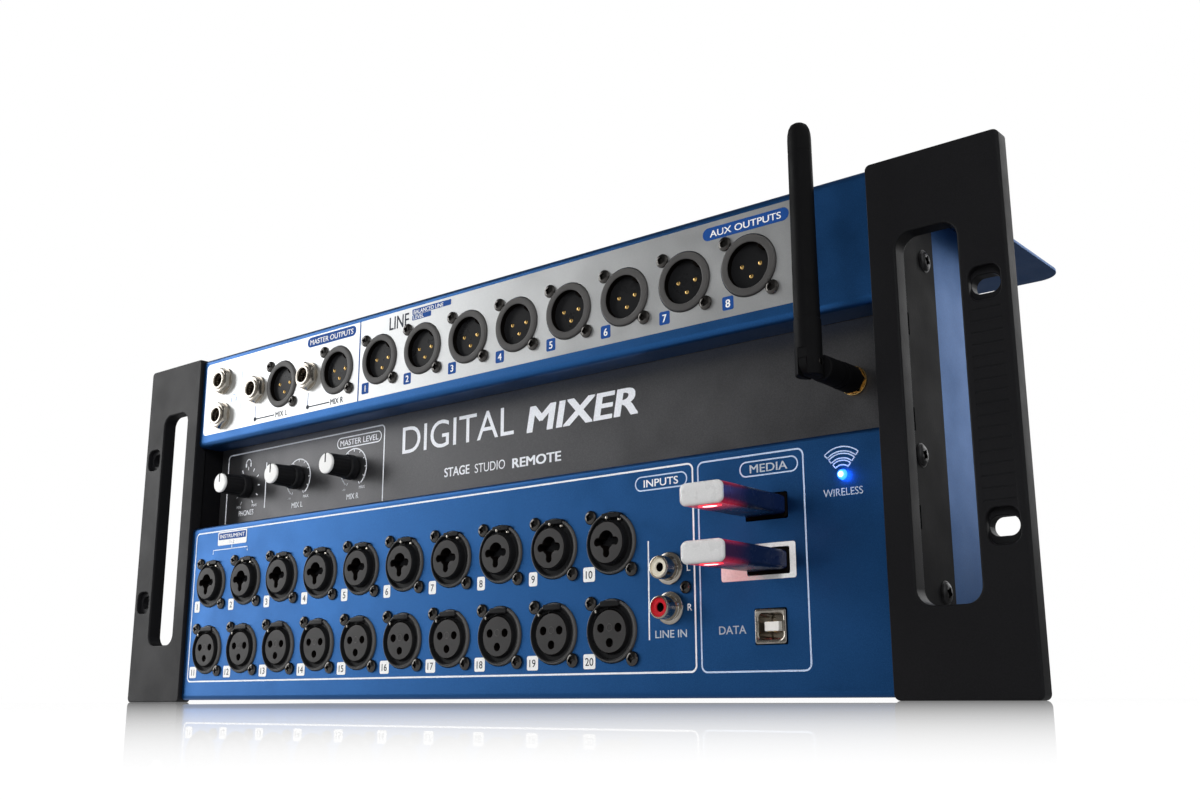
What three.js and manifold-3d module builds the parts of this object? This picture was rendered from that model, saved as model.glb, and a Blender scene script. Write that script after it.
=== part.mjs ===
// Rack-mount digital stage mixer: blue case with a recessed grey band, black rack ears, audio sockets,
// level knobs, two memory sticks and a folding stub antenna. Millimetres, +Z up, front towards -Y.
import * as THREE from 'three';
import { mergeVertices } from 'three/addons/utils/BufferGeometryUtils.js';
import Module from 'manifold-3d';

// ---- driving dimensions (mm). Y = 0 is the front face of the rack ears, before the final shift ----
const RACK_WIDTH = 482.6;        // 19-inch front
const HEIGHT = 177.0;            // four rack units, less the usual clearance
const CASE_HALF = 194.2;         // half width of the case between the ears
const EAR_INNER = 194.5;
const EAR_T = 7.0;               // ear plate thickness
const FLANGE_T = 2.0;            // ear side flange thickness
const FLANGE_END = 47.0;         // ear side flange, rear end
const SHEET = 1.5;               // sheet metal thickness
const FRONT_Y = 2.0;             // blue front faces
const RECESS_Y = 16.5;           // grey panel face
const UPPER_LOW = 129.3;         // underside of the upper front section
const LOWER_TOP = 87.0;          // top of the lower front section
const CASE_TOP = 176.7;
const CASE_BOTTOM = 1.0;
const CASE_BACK = 85.0;
const HOOD_BACK = 155.0;
const HOOD_HALF = 207.0;
const HOOD_START = 56.0;
const GAP = 0.3;
const SLOT = { x0: 204.0, x1: 225.3, z0: 28.4, z1: 149.9, r: 5.5 };
const RACK_HOLE_X = 232.55, RACK_HOLE_Z = [51.1, 127.3], RACK_HOLE_W = 9.6, RACK_HOLE_H = 6.2;
const RECESS_X = 233.2, RECESS_DEPTH = 2.4;  // shallow dish around each rack hole
const PITCH = 28.55;             // socket spacing
const IN_X0 = -175.2, COMBO_Z = 57.7, XLRIN_Z = 25.3;
const OUT_Z = 152.8, AUX_X0 = -53.8, AUX_PITCH = 28.55;
const MASTER_X = [-126.3, -84.2];
const ROUND = 14;                // facets of a round socket
const RING_R = 11.6, CUP_R = 8.6, SCREW_DX = 9.7, SCREW_DZ = 10.3;
const BOARD_Y = 27.0, BOARD_T = 1.6;
const JACKS = { phones_jack_upper: [-175.2, 162.1], phones_jack_lower: [-175.2, 143.6], mix_l_jack: [-146.5, 153.0], mix_r_jack: [-105.0, 153.0] };
const KNOB_X = { knob_phones: -170.3, knob_mix_l: -128.4, knob_mix_r: -86.5 }, KNOB_Z = 108.0, KNOB_R = 5.35, SKIRT_R = 6.0, SHAFT_R = 3.0;
const RCA_X = 109.0, RCA_Z = [46.4, 32.3];
const MEDIA_X = 150.0, MEDIA_Z = { upper: 64.8, lower: 46.2 };
const PORT_B = { x: 150.3, z: 24.4, w: 12.1, h: 11.6 };
const LED = { x: 179.6, z: 72.6, r: 1.6 };
const ANT = { x: 178.2, z: 107.3, pivotY: -14.2, r: 4.15, baseR: 4.6, bottom: 102.9, top: 192.1 };
const TONGUE_HALF = 1.45, FORK_HALF = 1.75, FORK_TOP = 112.0, BARREL_FRONT = -7.3, BARREL_BACK = 14.0;
const INLET = { x: -150.0, z: 42.0 }, ROCKER = { x: -116.5, z: 42.0, y: 80.5 };
const REAR = { netX: 60.0, videoX: 86.0, dataX: [110.0, 130.0], z: 42.0 };
const SHIFT_Y = -(HOOD_BACK + -38.0) / 2;   // centres the whole part front to back

const wasm = await Module();
wasm.setup();

function solid(geometry) {
  const g = mergeVertices(stripped(geometry), 1e-4);
  const p = g.attributes.position.array;
  return new wasm.Manifold(new wasm.Mesh({ numProp: 3, vertProperties: new Float32Array(p), triVerts: new Uint32Array(g.index.array) }));
}
function stripped(geometry) {
  const g = geometry.clone();
  g.deleteAttribute('normal');
  g.deleteAttribute('uv');
  return g;
}
function finish(man, name, material) {
  const m = man.getMesh();
  const g = new THREE.BufferGeometry();
  g.setAttribute('position', new THREE.BufferAttribute(new Float32Array(m.vertProperties), 3));
  g.setIndex(new THREE.BufferAttribute(new Uint32Array(m.triVerts), 1));
  g.translate(0, SHIFT_Y, 0);
  g.computeVertexNormals();
  const mesh = new THREE.Mesh(g, new THREE.MeshStandardMaterial(material));
  mesh.name = name;
  return mesh;
}
const box = (x0, x1, y0, y1, z0, z1) => {
  const g = new THREE.BoxGeometry(x1 - x0, y1 - y0, z1 - z0);
  g.translate((x0 + x1) / 2, (y0 + y1) / 2, (z0 + z1) / 2);
  return solid(g);
};
const cylY = (x, z, r, y0, y1, n = 28, turn = 0) => {
  const g = new THREE.CylinderGeometry(r, r, y1 - y0, n);
  g.rotateY(turn);
  g.translate(x, (y0 + y1) / 2, z);
  return solid(g);
};
const cylX = (y, z, r, x0, x1, n = 20) => {
  const g = new THREE.CylinderGeometry(r, r, x1 - x0, n);
  g.rotateZ(Math.PI / 2);
  g.translate((x0 + x1) / 2, y, z);
  return solid(g);
};
const cylZ = (x, y, r, z0, z1, n = 24) => {
  const g = new THREE.CylinderGeometry(r, r, z1 - z0, n);
  g.rotateX(Math.PI / 2);
  g.translate(x, y, (z0 + z1) / 2);
  return solid(g);
};
function roundRect(x0, x1, y0, y1, r) {
  const s = new THREE.Shape();
  s.moveTo(x0 + r, y0);
  s.lineTo(x1 - r, y0);
  s.absarc(x1 - r, y0 + r, r, -Math.PI / 2, 0, false);
  s.lineTo(x1, y1 - r);
  s.absarc(x1 - r, y1 - r, r, 0, Math.PI / 2, false);
  s.lineTo(x0 + r, y1);
  s.absarc(x0 + r, y1 - r, r, Math.PI / 2, Math.PI, false);
  s.lineTo(x0, y0 + r);
  s.absarc(x0 + r, y0 + r, r, Math.PI, Math.PI * 1.5, false);
  return s;
}
// outline in X and Z, extruded along Y
const slabY = (shape, y0, y1, curve = 4) => {
  const g = new THREE.ExtrudeGeometry(shape, { depth: y1 - y0, bevelEnabled: false, curveSegments: curve });
  g.rotateX(Math.PI / 2);
  g.translate(0, y1, 0);
  return solid(g);
};
// outline in X and Y, extruded along Z
const slabZ = (shape, z0, z1, curve = 5) => {
  const g = new THREE.ExtrudeGeometry(shape, { depth: z1 - z0, bevelEnabled: false, curveSegments: curve });
  g.translate(0, 0, z0);
  return solid(g);
};
// outline in Y and Z, extruded along X
const slabX = (points, x0, x1) => {
  const s = new THREE.Shape(points.map(([y, z]) => new THREE.Vector2(y, z)));
  const g = new THREE.ExtrudeGeometry(s, { depth: x1 - x0, bevelEnabled: false, curveSegments: 4 });
  // local x -> Y, local y -> Z, local z -> X
  g.applyMatrix4(new THREE.Matrix4().set(0, 0, 1, x0, 1, 0, 0, 0, 0, 1, 0, 0, 0, 0, 0, 1));
  return solid(g);
};
const join = (...a) => a.reduce((m, b) => m.add(b));
const cut = (m, list) => list.reduce((a, b) => a.subtract(b), m);
const arc = (cy, cz, r, a0, a1, n) => Array.from({ length: n + 1 }, (_, i) => {
  const a = (a0 + (a1 - a0) * i / n) * Math.PI / 180;
  return [cy + r * Math.cos(a), cz + r * Math.sin(a)];
});

const BLUE = { color: 0x0b57b0, roughness: 0.45, metalness: 0.35 };
const BLACK = { color: 0x1b1c1e, roughness: 0.5, metalness: 0.2 };
const NICKEL = { color: 0xb9b4a8, roughness: 0.25, metalness: 1.0 };
const GOLD = { color: 0xc8963c, roughness: 0.25, metalness: 1.0 };
const BOARD = { color: 0x14532d, roughness: 0.6, metalness: 0.1 };

const group = new THREE.Group();
{
  const put = (man, name, material) => group.add(finish(man, name, material));

  const inX = Array.from({ length: 10 }, (_, i) => IN_X0 + PITCH * i);
  const auxX = Array.from({ length: 8 }, (_, i) => AUX_X0 + AUX_PITCH * i);
  const outX = [...MASTER_X, ...auxX];

  // holes through a front sheet for one round socket and its two screws
  const socketHoles = (x, z) => [
    cylY(x, z, RING_R + GAP, FRONT_Y - 2, FRONT_Y + 4, ROUND),
    cylY(x - SCREW_DX, z + SCREW_DZ, 1.8, FRONT_Y - 2, FRONT_Y + 4, 6),
    cylY(x + SCREW_DX, z - SCREW_DZ, 1.8, FRONT_Y - 2, FRONT_Y + 4, 6),
  ];

  // ---- upper blue front: face, underside ledge and top return, folded from one sheet ----
  const t = SHEET, R = 2.2, r = R - t;
  const yF = FRONT_Y, yB = FRONT_Y + t, yL = RECESS_Y - GAP, yT = 12.0;
  const upper = [
    [yL, UPPER_LOW], [yL, UPPER_LOW + t],
    ...arc(yF + R, UPPER_LOW + R, r, 270, 180, 3),
    ...arc(yF + R, CASE_TOP - R, r, 180, 90, 3),
    [yT, CASE_TOP - t], [yT, CASE_TOP],
    ...arc(yF + R, CASE_TOP - R, R, 90, 180, 4),
    ...arc(yF + R, UPPER_LOW + R, R, 180, 270, 4),
  ];
  let outputPanel = slabX(upper, -CASE_HALF, CASE_HALF);
  outputPanel = cut(outputPanel, outX.flatMap((x) => socketHoles(x, OUT_Z)));
  outputPanel = cut(outputPanel, Object.values(JACKS).map(([x, z]) => cylY(x, z, 5.5, 0, 6, 16)));
  put(outputPanel, 'output_panel', { ...BLUE });

  // ---- lower blue front: face, ledge on top and return at the bottom ----
  const lower = [
    [yL, LOWER_TOP - t], [yL, LOWER_TOP],
    ...arc(yF + R, LOWER_TOP - R, R, 90, 180, 4),
    ...arc(yF + R, CASE_BOTTOM + R, R, 180, 270, 4),
    [yT, CASE_BOTTOM], [yT, CASE_BOTTOM + t],
    ...arc(yF + R, CASE_BOTTOM + R, r, 270, 180, 3),
    ...arc(yF + R, LOWER_TOP - R, r, 180, 90, 3),
  ];
  let inputPanel = slabX(lower, -CASE_HALF, CASE_HALF);
  inputPanel = cut(inputPanel, inX.flatMap((x) => [...socketHoles(x, COMBO_Z), ...socketHoles(x, XLRIN_Z)]));
  inputPanel = cut(inputPanel, [
    ...RCA_Z.map((z) => cylY(RCA_X, z, 5.0, 0, 6, 16)),
    cylY(RCA_X + 6.7, (RCA_Z[0] + RCA_Z[1]) / 2, 1.8, 0, 6, 8),
    box(PORT_B.x - PORT_B.w / 2 - GAP, PORT_B.x + PORT_B.w / 2 + GAP, 0, 6, PORT_B.z - PORT_B.h / 2 - GAP, PORT_B.z + PORT_B.h / 2 + GAP),
    ...Object.values(MEDIA_Z).map((z) => box(MEDIA_X - 8.5, MEDIA_X + 8.5, 0, 6, z - 4.6, z + 4.6)),
    cylY(LED.x, LED.z, LED.r + GAP, 0, 6, 12),
  ]);
  put(inputPanel, 'input_panel', { ...BLUE });

  // ---- recessed grey panel ----
  let centre = box(-CASE_HALF + 0.3, CASE_HALF - 0.3, RECESS_Y, RECESS_Y + t, 82.0, 134.0);
  centre = cut(centre, [...Object.values(KNOB_X).map((x) => cylY(x, KNOB_Z, 4.5, 14, 20, 16)), cylY(ANT.x, ANT.z, 3.5, 14, 20, 14)]);
  put(centre, 'centre_panel', { color: 0x4a4b4e, roughness: 0.5, metalness: 0.3 });

  // ---- sides, bottom and back ----
  const cy0 = yT + GAP;
  let rear = box(-CASE_HALF, CASE_HALF, 4.0, CASE_BACK, CASE_BOTTOM, CASE_TOP - t - GAP);
  rear = cut(rear, [
    box(-CASE_HALF + t, CASE_HALF - t, 0, CASE_BACK - t, CASE_BOTTOM + t, HEIGHT + 5),
    box(-CASE_HALF - 1, CASE_HALF + 1, 0, cy0, -1, CASE_BOTTOM + t + GAP),
    box(-CASE_HALF - 1, CASE_HALF + 1, 0, RECESS_Y + t + GAP, 81.7, 134.3),
    box(INLET.x - 14.3, ROCKER.x + 9.8, CASE_BACK - 4, CASE_BACK + 2, INLET.z - 12.8, INLET.z + 12.8),
    box(REAR.netX - 8.3, REAR.netX + 8.3, CASE_BACK - 4, CASE_BACK + 2, REAR.z - 7.3, REAR.z + 7.3),
    box(REAR.videoX - 8.1, REAR.videoX + 8.1, CASE_BACK - 4, CASE_BACK + 2, REAR.z - 3.8, REAR.z + 3.8),
    ...REAR.dataX.map((x) => box(x - 7.6, x + 7.6, CASE_BACK - 4, CASE_BACK + 2, REAR.z - 3.9, REAR.z + 3.9)),
    ...Array.from({ length: 14 }, (_, i) => box(-62 + i * 9, -59 + i * 9, CASE_BACK - 4, CASE_BACK + 2, 110, 150)),
  ]);
  // front corners of the side walls stay behind the folds of the front sheets
  rear = cut(rear, [
    box(-CASE_HALF - 1, CASE_HALF + 1, 0, yL + GAP, UPPER_LOW - GAP, UPPER_LOW + t + GAP),
    box(-CASE_HALF - 1, CASE_HALF + 1, 0, yL + GAP, LOWER_TOP - t - GAP, LOWER_TOP + GAP),
    box(-CASE_HALF - 1, CASE_HALF + 1, 0, yT + GAP, CASE_TOP - t - GAP - 0.4, CASE_TOP + 1),
    box(-CASE_HALF - 1, CASE_HALF + 1, 0, yB + 1.2, -1, HEIGHT + 1),
  ]);
  put(rear, 'rear_cover', { ...BLUE });

  // ---- top sheet with the hood behind the case ----
  const s = new THREE.Shape();
  const q = 10;
  s.moveTo(-CASE_HALF, yT + GAP);
  s.lineTo(CASE_HALF, yT + GAP);
  s.lineTo(CASE_HALF, HOOD_START);
  s.lineTo(HOOD_HALF - 4, HOOD_START);
  s.absarc(HOOD_HALF - 4, HOOD_START + 4, 4, -Math.PI / 2, 0, false);
  s.lineTo(HOOD_HALF, HOOD_BACK - q);
  s.absarc(HOOD_HALF - q, HOOD_BACK - q, q, 0, Math.PI / 2, false);
  s.lineTo(-HOOD_HALF + q, HOOD_BACK);
  s.absarc(-HOOD_HALF + q, HOOD_BACK - q, q, Math.PI / 2, Math.PI, false);
  s.lineTo(-HOOD_HALF, HOOD_START + 4);
  s.absarc(-HOOD_HALF + 4, HOOD_START + 4, 4, Math.PI, Math.PI * 1.5, false);
  s.lineTo(-CASE_HALF, HOOD_START);
  s.closePath();
  put(slabZ(s, CASE_TOP - t, CASE_TOP, 6), 'top_cover', { ...BLUE });

  // ---- rack ears ----
  for (const side of [-1, 1]) {
    const X = (v) => side * v;
    const bx = (a, b, ...rest) => box(Math.min(X(a), X(b)), Math.max(X(a), X(b)), ...rest);
    const outer = RACK_WIDTH / 2;
    const rr = (a, b, z0, z1, rad) => roundRect(Math.min(X(a), X(b)), Math.max(X(a), X(b)), z0, z1, rad);
    let ear = slabY(rr(EAR_INNER, outer, 0, HEIGHT, 2), 0, EAR_T, 4);
    // side flange, standing clear of the front plate's inner edge corners
    ear = join(ear, slabX([[1.5, 4], [FLANGE_END - 3, 4], [FLANGE_END, 7], [FLANGE_END, HEIGHT - 11], [FLANGE_END - 3, HEIGHT - 8], [1.5, HEIGHT - 8]],
      Math.min(X(EAR_INNER), X(EAR_INNER + FLANGE_T)), Math.max(X(EAR_INNER), X(EAR_INNER + FLANGE_T))));
    ear = cut(ear, [
      slabY(rr(SLOT.x0, SLOT.x1, SLOT.z0, SLOT.z1, SLOT.r), -1, EAR_T + 1, 4),
      ...RACK_HOLE_Z.map((z) => slabY(rr(RACK_HOLE_X - RACK_HOLE_W / 2, RACK_HOLE_X + RACK_HOLE_W / 2, z - RACK_HOLE_H / 2, z + RACK_HOLE_H / 2, RACK_HOLE_H / 2 - 0.01), -1, EAR_T + 1, 3)),
      ...RACK_HOLE_Z.map((z) => slabY(rr(RECESS_X - 5.2, RECESS_X + 5.2, z - 5.8, z + 5.4, 3.4), -1, RECESS_DEPTH, 2)),
      ...[125.9, 92.4, 59.2].map((z) => bx(EAR_INNER - 1, EAR_INNER + 4, 20.5, 23.5, z - 4, z + 4)),
    ]);
    for (const [y, z] of [[39.1, 152.8], [27.0, 80.5], [39.1, 35.1]]) {
      ear = join(ear, cylX(y, z, 2.9, Math.min(X(EAR_INNER + 1), X(EAR_INNER + FLANGE_T + 1.6)), Math.max(X(EAR_INNER + 1), X(EAR_INNER + FLANGE_T + 1.6)), 8));
    }
    put(ear, side < 0 ? 'ear_left' : 'ear_right', { ...BLACK });
  }

  // ---- round sockets: body, mounting flange behind the sheet, and two screws through it ----
  const socketBase = (x, z, back) => {
    let m = cylY(x, z, RING_R, 1.2, 14, ROUND);
    m = join(m, box(x - 11.2, x + 11.2, yB + GAP, yB + GAP + 1.8, z - 14.6, z + 14.6), box(x - 9, x + 9, 10, back, z - 10, z + 10));
    for (const d of [1, -1]) {
      const sx = x - d * SCREW_DX, sz = z + d * SCREW_DZ;
      m = join(m, cylY(sx, sz, 2.7, 0.6, FRONT_Y - GAP, 6), cylY(sx, sz, 1.3, 1.0, yB + 1, 4));
    }
    return m;
  };
  const back = BOARD_Y - GAP;
  outX.forEach((x, i) => {
    const m = cut(socketBase(x, OUT_Z, back), [cylY(x, OUT_Z, CUP_R, 0, 14.5, ROUND)]);
    put(m, i === 0 ? 'xlr_master_l' : i === 1 ? 'xlr_master_r' : `xlr_aux_${i - 1}`, { ...BLACK });
  });
  inX.forEach((x, i) => {
    let m = join(socketBase(x, COMBO_Z, back), cylY(x, COMBO_Z, 8.1, -1.6, 3, ROUND));
    m = cut(m, [cylY(x, COMBO_Z, 4.4, -2, 24, 12)]);
    put(m, `combo_input_${String(i + 1).padStart(2, '0')}`, { ...BLACK });
  });
  inX.forEach((x, i) => {
    let m = join(socketBase(x, XLRIN_Z, back), cylY(x, XLRIN_Z, 8.1, 0.6, 3, ROUND));
    m = cut(m, [[-4.1, 1.7], [4.1, 1.7], [0, -3.9]].map(([dx, dz]) => cylY(x + dx, XLRIN_Z + dz, 1.5, 0, 12, 5)));
    put(m, `xlr_input_${i + 11}`, { ...BLACK });
  });

  // ---- jack sockets with hexagon nuts ----
  for (const [name, [x, z]] of Object.entries(JACKS)) {
    let m = join(cylY(x, z, 7.1, 1.1, FRONT_Y - GAP, 20), cylY(x, z, 7.0, -1.6, FRONT_Y - GAP, 6, Math.PI / 6), cylY(x, z, 5.0, -2.4, 8, 20), box(x - 7.5, x + 7.5, yB + GAP, back, z - 8, z + 8));
    m = cut(m, [cylY(x, z, 3.3, -5, 25, 16)]);
    put(m, name, { ...NICKEL });
  }

  // ---- phono pair ----
  let rca = box(RCA_X - 7, RCA_X + 9.2, yB + GAP, back, RCA_Z[1] - 8, RCA_Z[0] + 8);
  for (const z of RCA_Z) rca = join(rca, cylY(RCA_X, z, 5.9, 0.6, FRONT_Y - GAP, 16), cylY(RCA_X, z, 4.6, 0.6, 8, 12), cylY(RCA_X, z, 4.15, -5.6, 1, 16));
  rca = join(rca, cylY(RCA_X + 6.7, (RCA_Z[0] + RCA_Z[1]) / 2, 2.4, 0.5, FRONT_Y - GAP, 8), cylY(RCA_X + 6.7, (RCA_Z[0] + RCA_Z[1]) / 2, 1.4, 1, 5, 6));
  for (const z of RCA_Z) rca = cut(rca, [cylY(RCA_X, z, 1.6, -7, 8, 8)]);
  put(rca, 'line_in_sockets', { ...NICKEL });

  // ---- square data port ----
  const pb = PORT_B;
  let portB = box(pb.x - pb.w / 2, pb.x + pb.w / 2, 1.4, 19, pb.z - pb.h / 2, pb.z + pb.h / 2);
  portB = cut(portB, [box(pb.x - 4.6, pb.x + 4.6, 0, 10.5, pb.z - 4.2, pb.z + 4.2)]);
  portB = join(portB, box(pb.x - 2.8, pb.x + 2.8, 2.2, 12, pb.z - 1.7, pb.z + 1.7));
  put(portB, 'data_port_b', { ...NICKEL });

  // ---- memory stick ports and sticks ----
  for (const [w, z] of Object.entries(MEDIA_Z)) {
    let port = box(MEDIA_X - 8.2, MEDIA_X + 8.2, 1.6, 20, z - 4.3, z + 4.3);
    port = cut(port, [box(MEDIA_X - 6.3, MEDIA_X + 6.3, 0, 15.5, z - 2.55, z + 2.55)]);
    put(port, `media_port_${w}`, { ...BLACK });
    const stick = join(
      slabY(roundRect(MEDIA_X - 8.4, MEDIA_X + 8.4, z - 4.0, z + 4.0, 1.8), -38, 1.2, 4),
      box(MEDIA_X - 6.0, MEDIA_X + 6.0, 0, 13.5, z - 2.25, z + 2.25));
    put(stick, `flash_drive_${w}`, { color: 0xd8d8d8, roughness: 0.3, metalness: 0.6 });
  }

  // ---- status lamp ----
  put(join(cylY(LED.x, LED.z, LED.r, 1.5, 6, 16), cylY(LED.x, LED.z, 2.4, yB + GAP, 6.5, 16)), 'status_led', { color: 0x3a8bff, roughness: 0.2, metalness: 0.0 });

  // ---- knobs with shafts ----
  for (const [name, x] of Object.entries(KNOB_X)) {
    const ribs = Array.from({ length: 12 }, (_, i) => {
      const a = (i + 0.5) * Math.PI / 6;
      return cylY(x + (KNOB_R + 0.1) * Math.cos(a), KNOB_Z + (KNOB_R + 0.1) * Math.sin(a), 0.6, 1.8, 10.0, 6);
    });
    let k = join(cylY(x, KNOB_Z, 5.0, -0.5, 2, 24), cylY(x, KNOB_Z, KNOB_R, 1.2, 11, 24), cylY(x, KNOB_Z, SKIRT_R, 11.3, 15.5, 24), cylY(x, KNOB_Z, 5.1, 10.8, 11.6, 24));
    k = cut(k, ribs);
    k = join(k, cylY(x, KNOB_Z, SHAFT_R, 8, 25, 16));
    put(k, name, { color: 0x151515, roughness: 0.55, metalness: 0.0 });
  }

  // ---- board behind the sockets, with the three level controls ----
  let board = box(-186, 186, BOARD_Y, BOARD_Y + BOARD_T, 6, 171);
  for (const x of Object.values(KNOB_X)) board = join(board, box(x - 8, x + 8, 18.4, BOARD_Y + 0.5, KNOB_Z - 8, KNOB_Z + 8), cylY(x, KNOB_Z, 4.2, 15.9, 20, 16));
  board = cut(board, Object.values(KNOB_X).map((x) => cylY(x, KNOB_Z, SHAFT_R + 0.06, 14, 26, 32)));
  board = cut(board, [cylY(ANT.x, ANT.z, 4.5, 25, 30, 12)]);
  put(board, 'front_board', { ...BOARD });

  // ---- processor board ----
  let main = box(-40, 170, 55, 56.6, 15, 160);
  main = join(main, box(20, 55, 51, 56, 80, 115), box(75, 100, 53, 56, 90, 110), box(75, 95, 53, 56, 60, 76), box(-20, 0, 50, 56, 120, 150), box(120, 150, 48, 56, 125, 140));
  put(main, 'main_board', { ...BOARD });

  // ---- mains power module ----
  let psu = box(-170, -70, 40, 70, 70, 150);
  psu = cut(psu, Array.from({ length: 6 }, (_, i) => box(-160 + i * 14, -154 + i * 14, 66, 72, 80, 140)));
  put(psu, 'power_supply', { color: 0x8f9498, roughness: 0.4, metalness: 0.8 });

  // ---- mains inlet and switch frame ----
  let inlet = join(
    slabY(roundRect(INLET.x - 17, ROCKER.x + 12.5, INLET.z - 15.5, INLET.z + 15.5, 3), CASE_BACK + GAP, CASE_BACK + 2.3, 3),
    box(INLET.x - 14, ROCKER.x + 9.5, 62, CASE_BACK + 1, INLET.z - 12.5, INLET.z + 12.5));
  inlet = cut(inlet, [
    slabY(roundRect(INLET.x - 12, INLET.x + 12, INLET.z - 8.2, INLET.z + 8.2, 3), 68, 92, 3),
    box(ROCKER.x - 6.6, ROCKER.x + 6.6, 69, 92, ROCKER.z - 11.4, ROCKER.z + 11.4),
  ]);
  put(inlet, 'power_inlet', { ...BLACK });

  // ---- rocker, tilted to its rest side; it turns about a line along X ----
  const tilt = -10 * Math.PI / 180;
  const rp = [[0, 9.6], [6.3, 9.8], [5.0, 0], [6.3, -9.8], [0, -9.6], [-4.5, -3.5], [-4.5, 3.5]].map(([y, z]) =>
    [ROCKER.y + y * Math.cos(tilt) - z * Math.sin(tilt), ROCKER.z + y * Math.sin(tilt) + z * Math.cos(tilt)]);
  put(slabX(rp.reverse(), ROCKER.x - 6.2, ROCKER.x + 6.2), 'power_rocker', { color: 0x101010, roughness: 0.35, metalness: 0.0 });

  // ---- network, video and data ports on one small board ----
  let ports = box(REAR.netX - 12, REAR.dataX[1] + 12, 66, CASE_BACK - t - GAP, REAR.z - 10, REAR.z - 8.2);
  ports = join(ports,
    box(REAR.netX - 8, REAR.netX + 8, 66, CASE_BACK + 0.6, REAR.z - 7, REAR.z + 7),
    box(REAR.netX - 8, REAR.netX + 8, 66, CASE_BACK - t - GAP, REAR.z - 9, REAR.z - 6),
    box(REAR.videoX - 7.8, REAR.videoX + 7.8, 70, CASE_BACK + 0.6, REAR.z - 3.5, REAR.z + 3.5),
    box(REAR.videoX - 7.8, REAR.videoX + 7.8, 70, CASE_BACK - t - GAP, REAR.z - 9, REAR.z - 3),
    ...REAR.dataX.flatMap((x) => [
      box(x - 7.3, x + 7.3, 68, CASE_BACK + 0.6, REAR.z - 3.6, REAR.z + 3.6),
      box(x - 7.3, x + 7.3, 68, CASE_BACK - t - GAP, REAR.z - 9, REAR.z - 3)]));
  ports = cut(ports, [
    box(REAR.netX - 6, REAR.netX + 6, 72, 90, REAR.z - 4.2, REAR.z + 4.4),
    box(REAR.videoX - 7.0, REAR.videoX + 7.0, 76, 90, REAR.z - 2.3, REAR.z + 2.3),
    ...REAR.dataX.map((x) => box(x - 6.4, x + 6.4, 74, 90, REAR.z - 2.6, REAR.z + 2.6))]);
  ports = join(ports,
    box(REAR.videoX - 5.5, REAR.videoX + 5.5, 75, CASE_BACK - 1, REAR.z - 0.6, REAR.z + 0.4),
    ...REAR.dataX.map((x) => box(x - 5.6, x + 5.6, 73, CASE_BACK - 1, REAR.z + 0.1, REAR.z + 1.6)));
  put(ports, 'rear_ports', { ...NICKEL });

  // ---- antenna connector, elbow and stub ----
  let sma = join(cylY(ANT.x, ANT.z, 3.2, BARREL_BACK + GAP, 34, 16), cylY(ANT.x, ANT.z, 5.2, BARREL_BACK + GAP, RECESS_Y - GAP, 6), cylY(ANT.x, ANT.z, 4.6, RECESS_Y + t + GAP, 21, 6));
  put(sma, 'antenna_socket', { ...GOLD });
  // elbow: knurled collar, black barrel, and a flat tongue for the stub's fork
  const pv = ANT.pivotY;
  let elbow = join(cylY(ANT.x, ANT.z, 4.85, 5.0, BARREL_BACK, 24), cylY(ANT.x, ANT.z, 4.6, BARREL_FRONT, 6, 24));
  elbow = join(elbow, box(ANT.x - TONGUE_HALF, ANT.x + TONGUE_HALF, pv, BARREL_FRONT + 1, ANT.z - 4.0, ANT.z + 4.0), cylX(pv, ANT.z, 4.0, ANT.x - TONGUE_HALF, ANT.x + TONGUE_HALF, 20));
  elbow = cut(elbow, [cylX(pv, ANT.z, 1.56, ANT.x - 6, ANT.x + 6, 32)]);
  put(elbow, 'antenna_swivel', { ...BLACK });
  // stub: rounded top, straight forked foot that straddles the elbow's tongue, joined by a pin
  const wr = ANT.r, br = ANT.baseR;
  const profile = [[0, ANT.bottom], [br - 0.2, ANT.bottom], [br, ANT.bottom + 0.3], [br, 122], [wr + 0.15, 124], [wr, 150], [wr - 0.1, ANT.top - 6], [wr - 0.35, ANT.top - 3.6], [wr - 1.2, ANT.top - 1.6], [wr - 2.6, ANT.top - 0.3], [0, ANT.top]].map(([a, b]) => new THREE.Vector2(a, b));
  const lathe = new THREE.LatheGeometry(profile, 24);
  lathe.rotateX(Math.PI / 2);
  lathe.translate(ANT.x, pv, 0);
  let whip = cut(solid(lathe), [box(ANT.x - FORK_HALF, ANT.x + FORK_HALF, pv - 6, pv + 6, ANT.bottom - 1, FORK_TOP)]);
  whip = join(whip, cylX(pv, ANT.z, 1.5, ANT.x - 3, ANT.x + 3, 16));
  put(whip, 'antenna_whip', { ...BLACK });

}

export default group;
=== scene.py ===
import math
import random

import bmesh
import bpy
from mathutils import Matrix, Vector
from mathutils.geometry import tessellate_polygon


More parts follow.
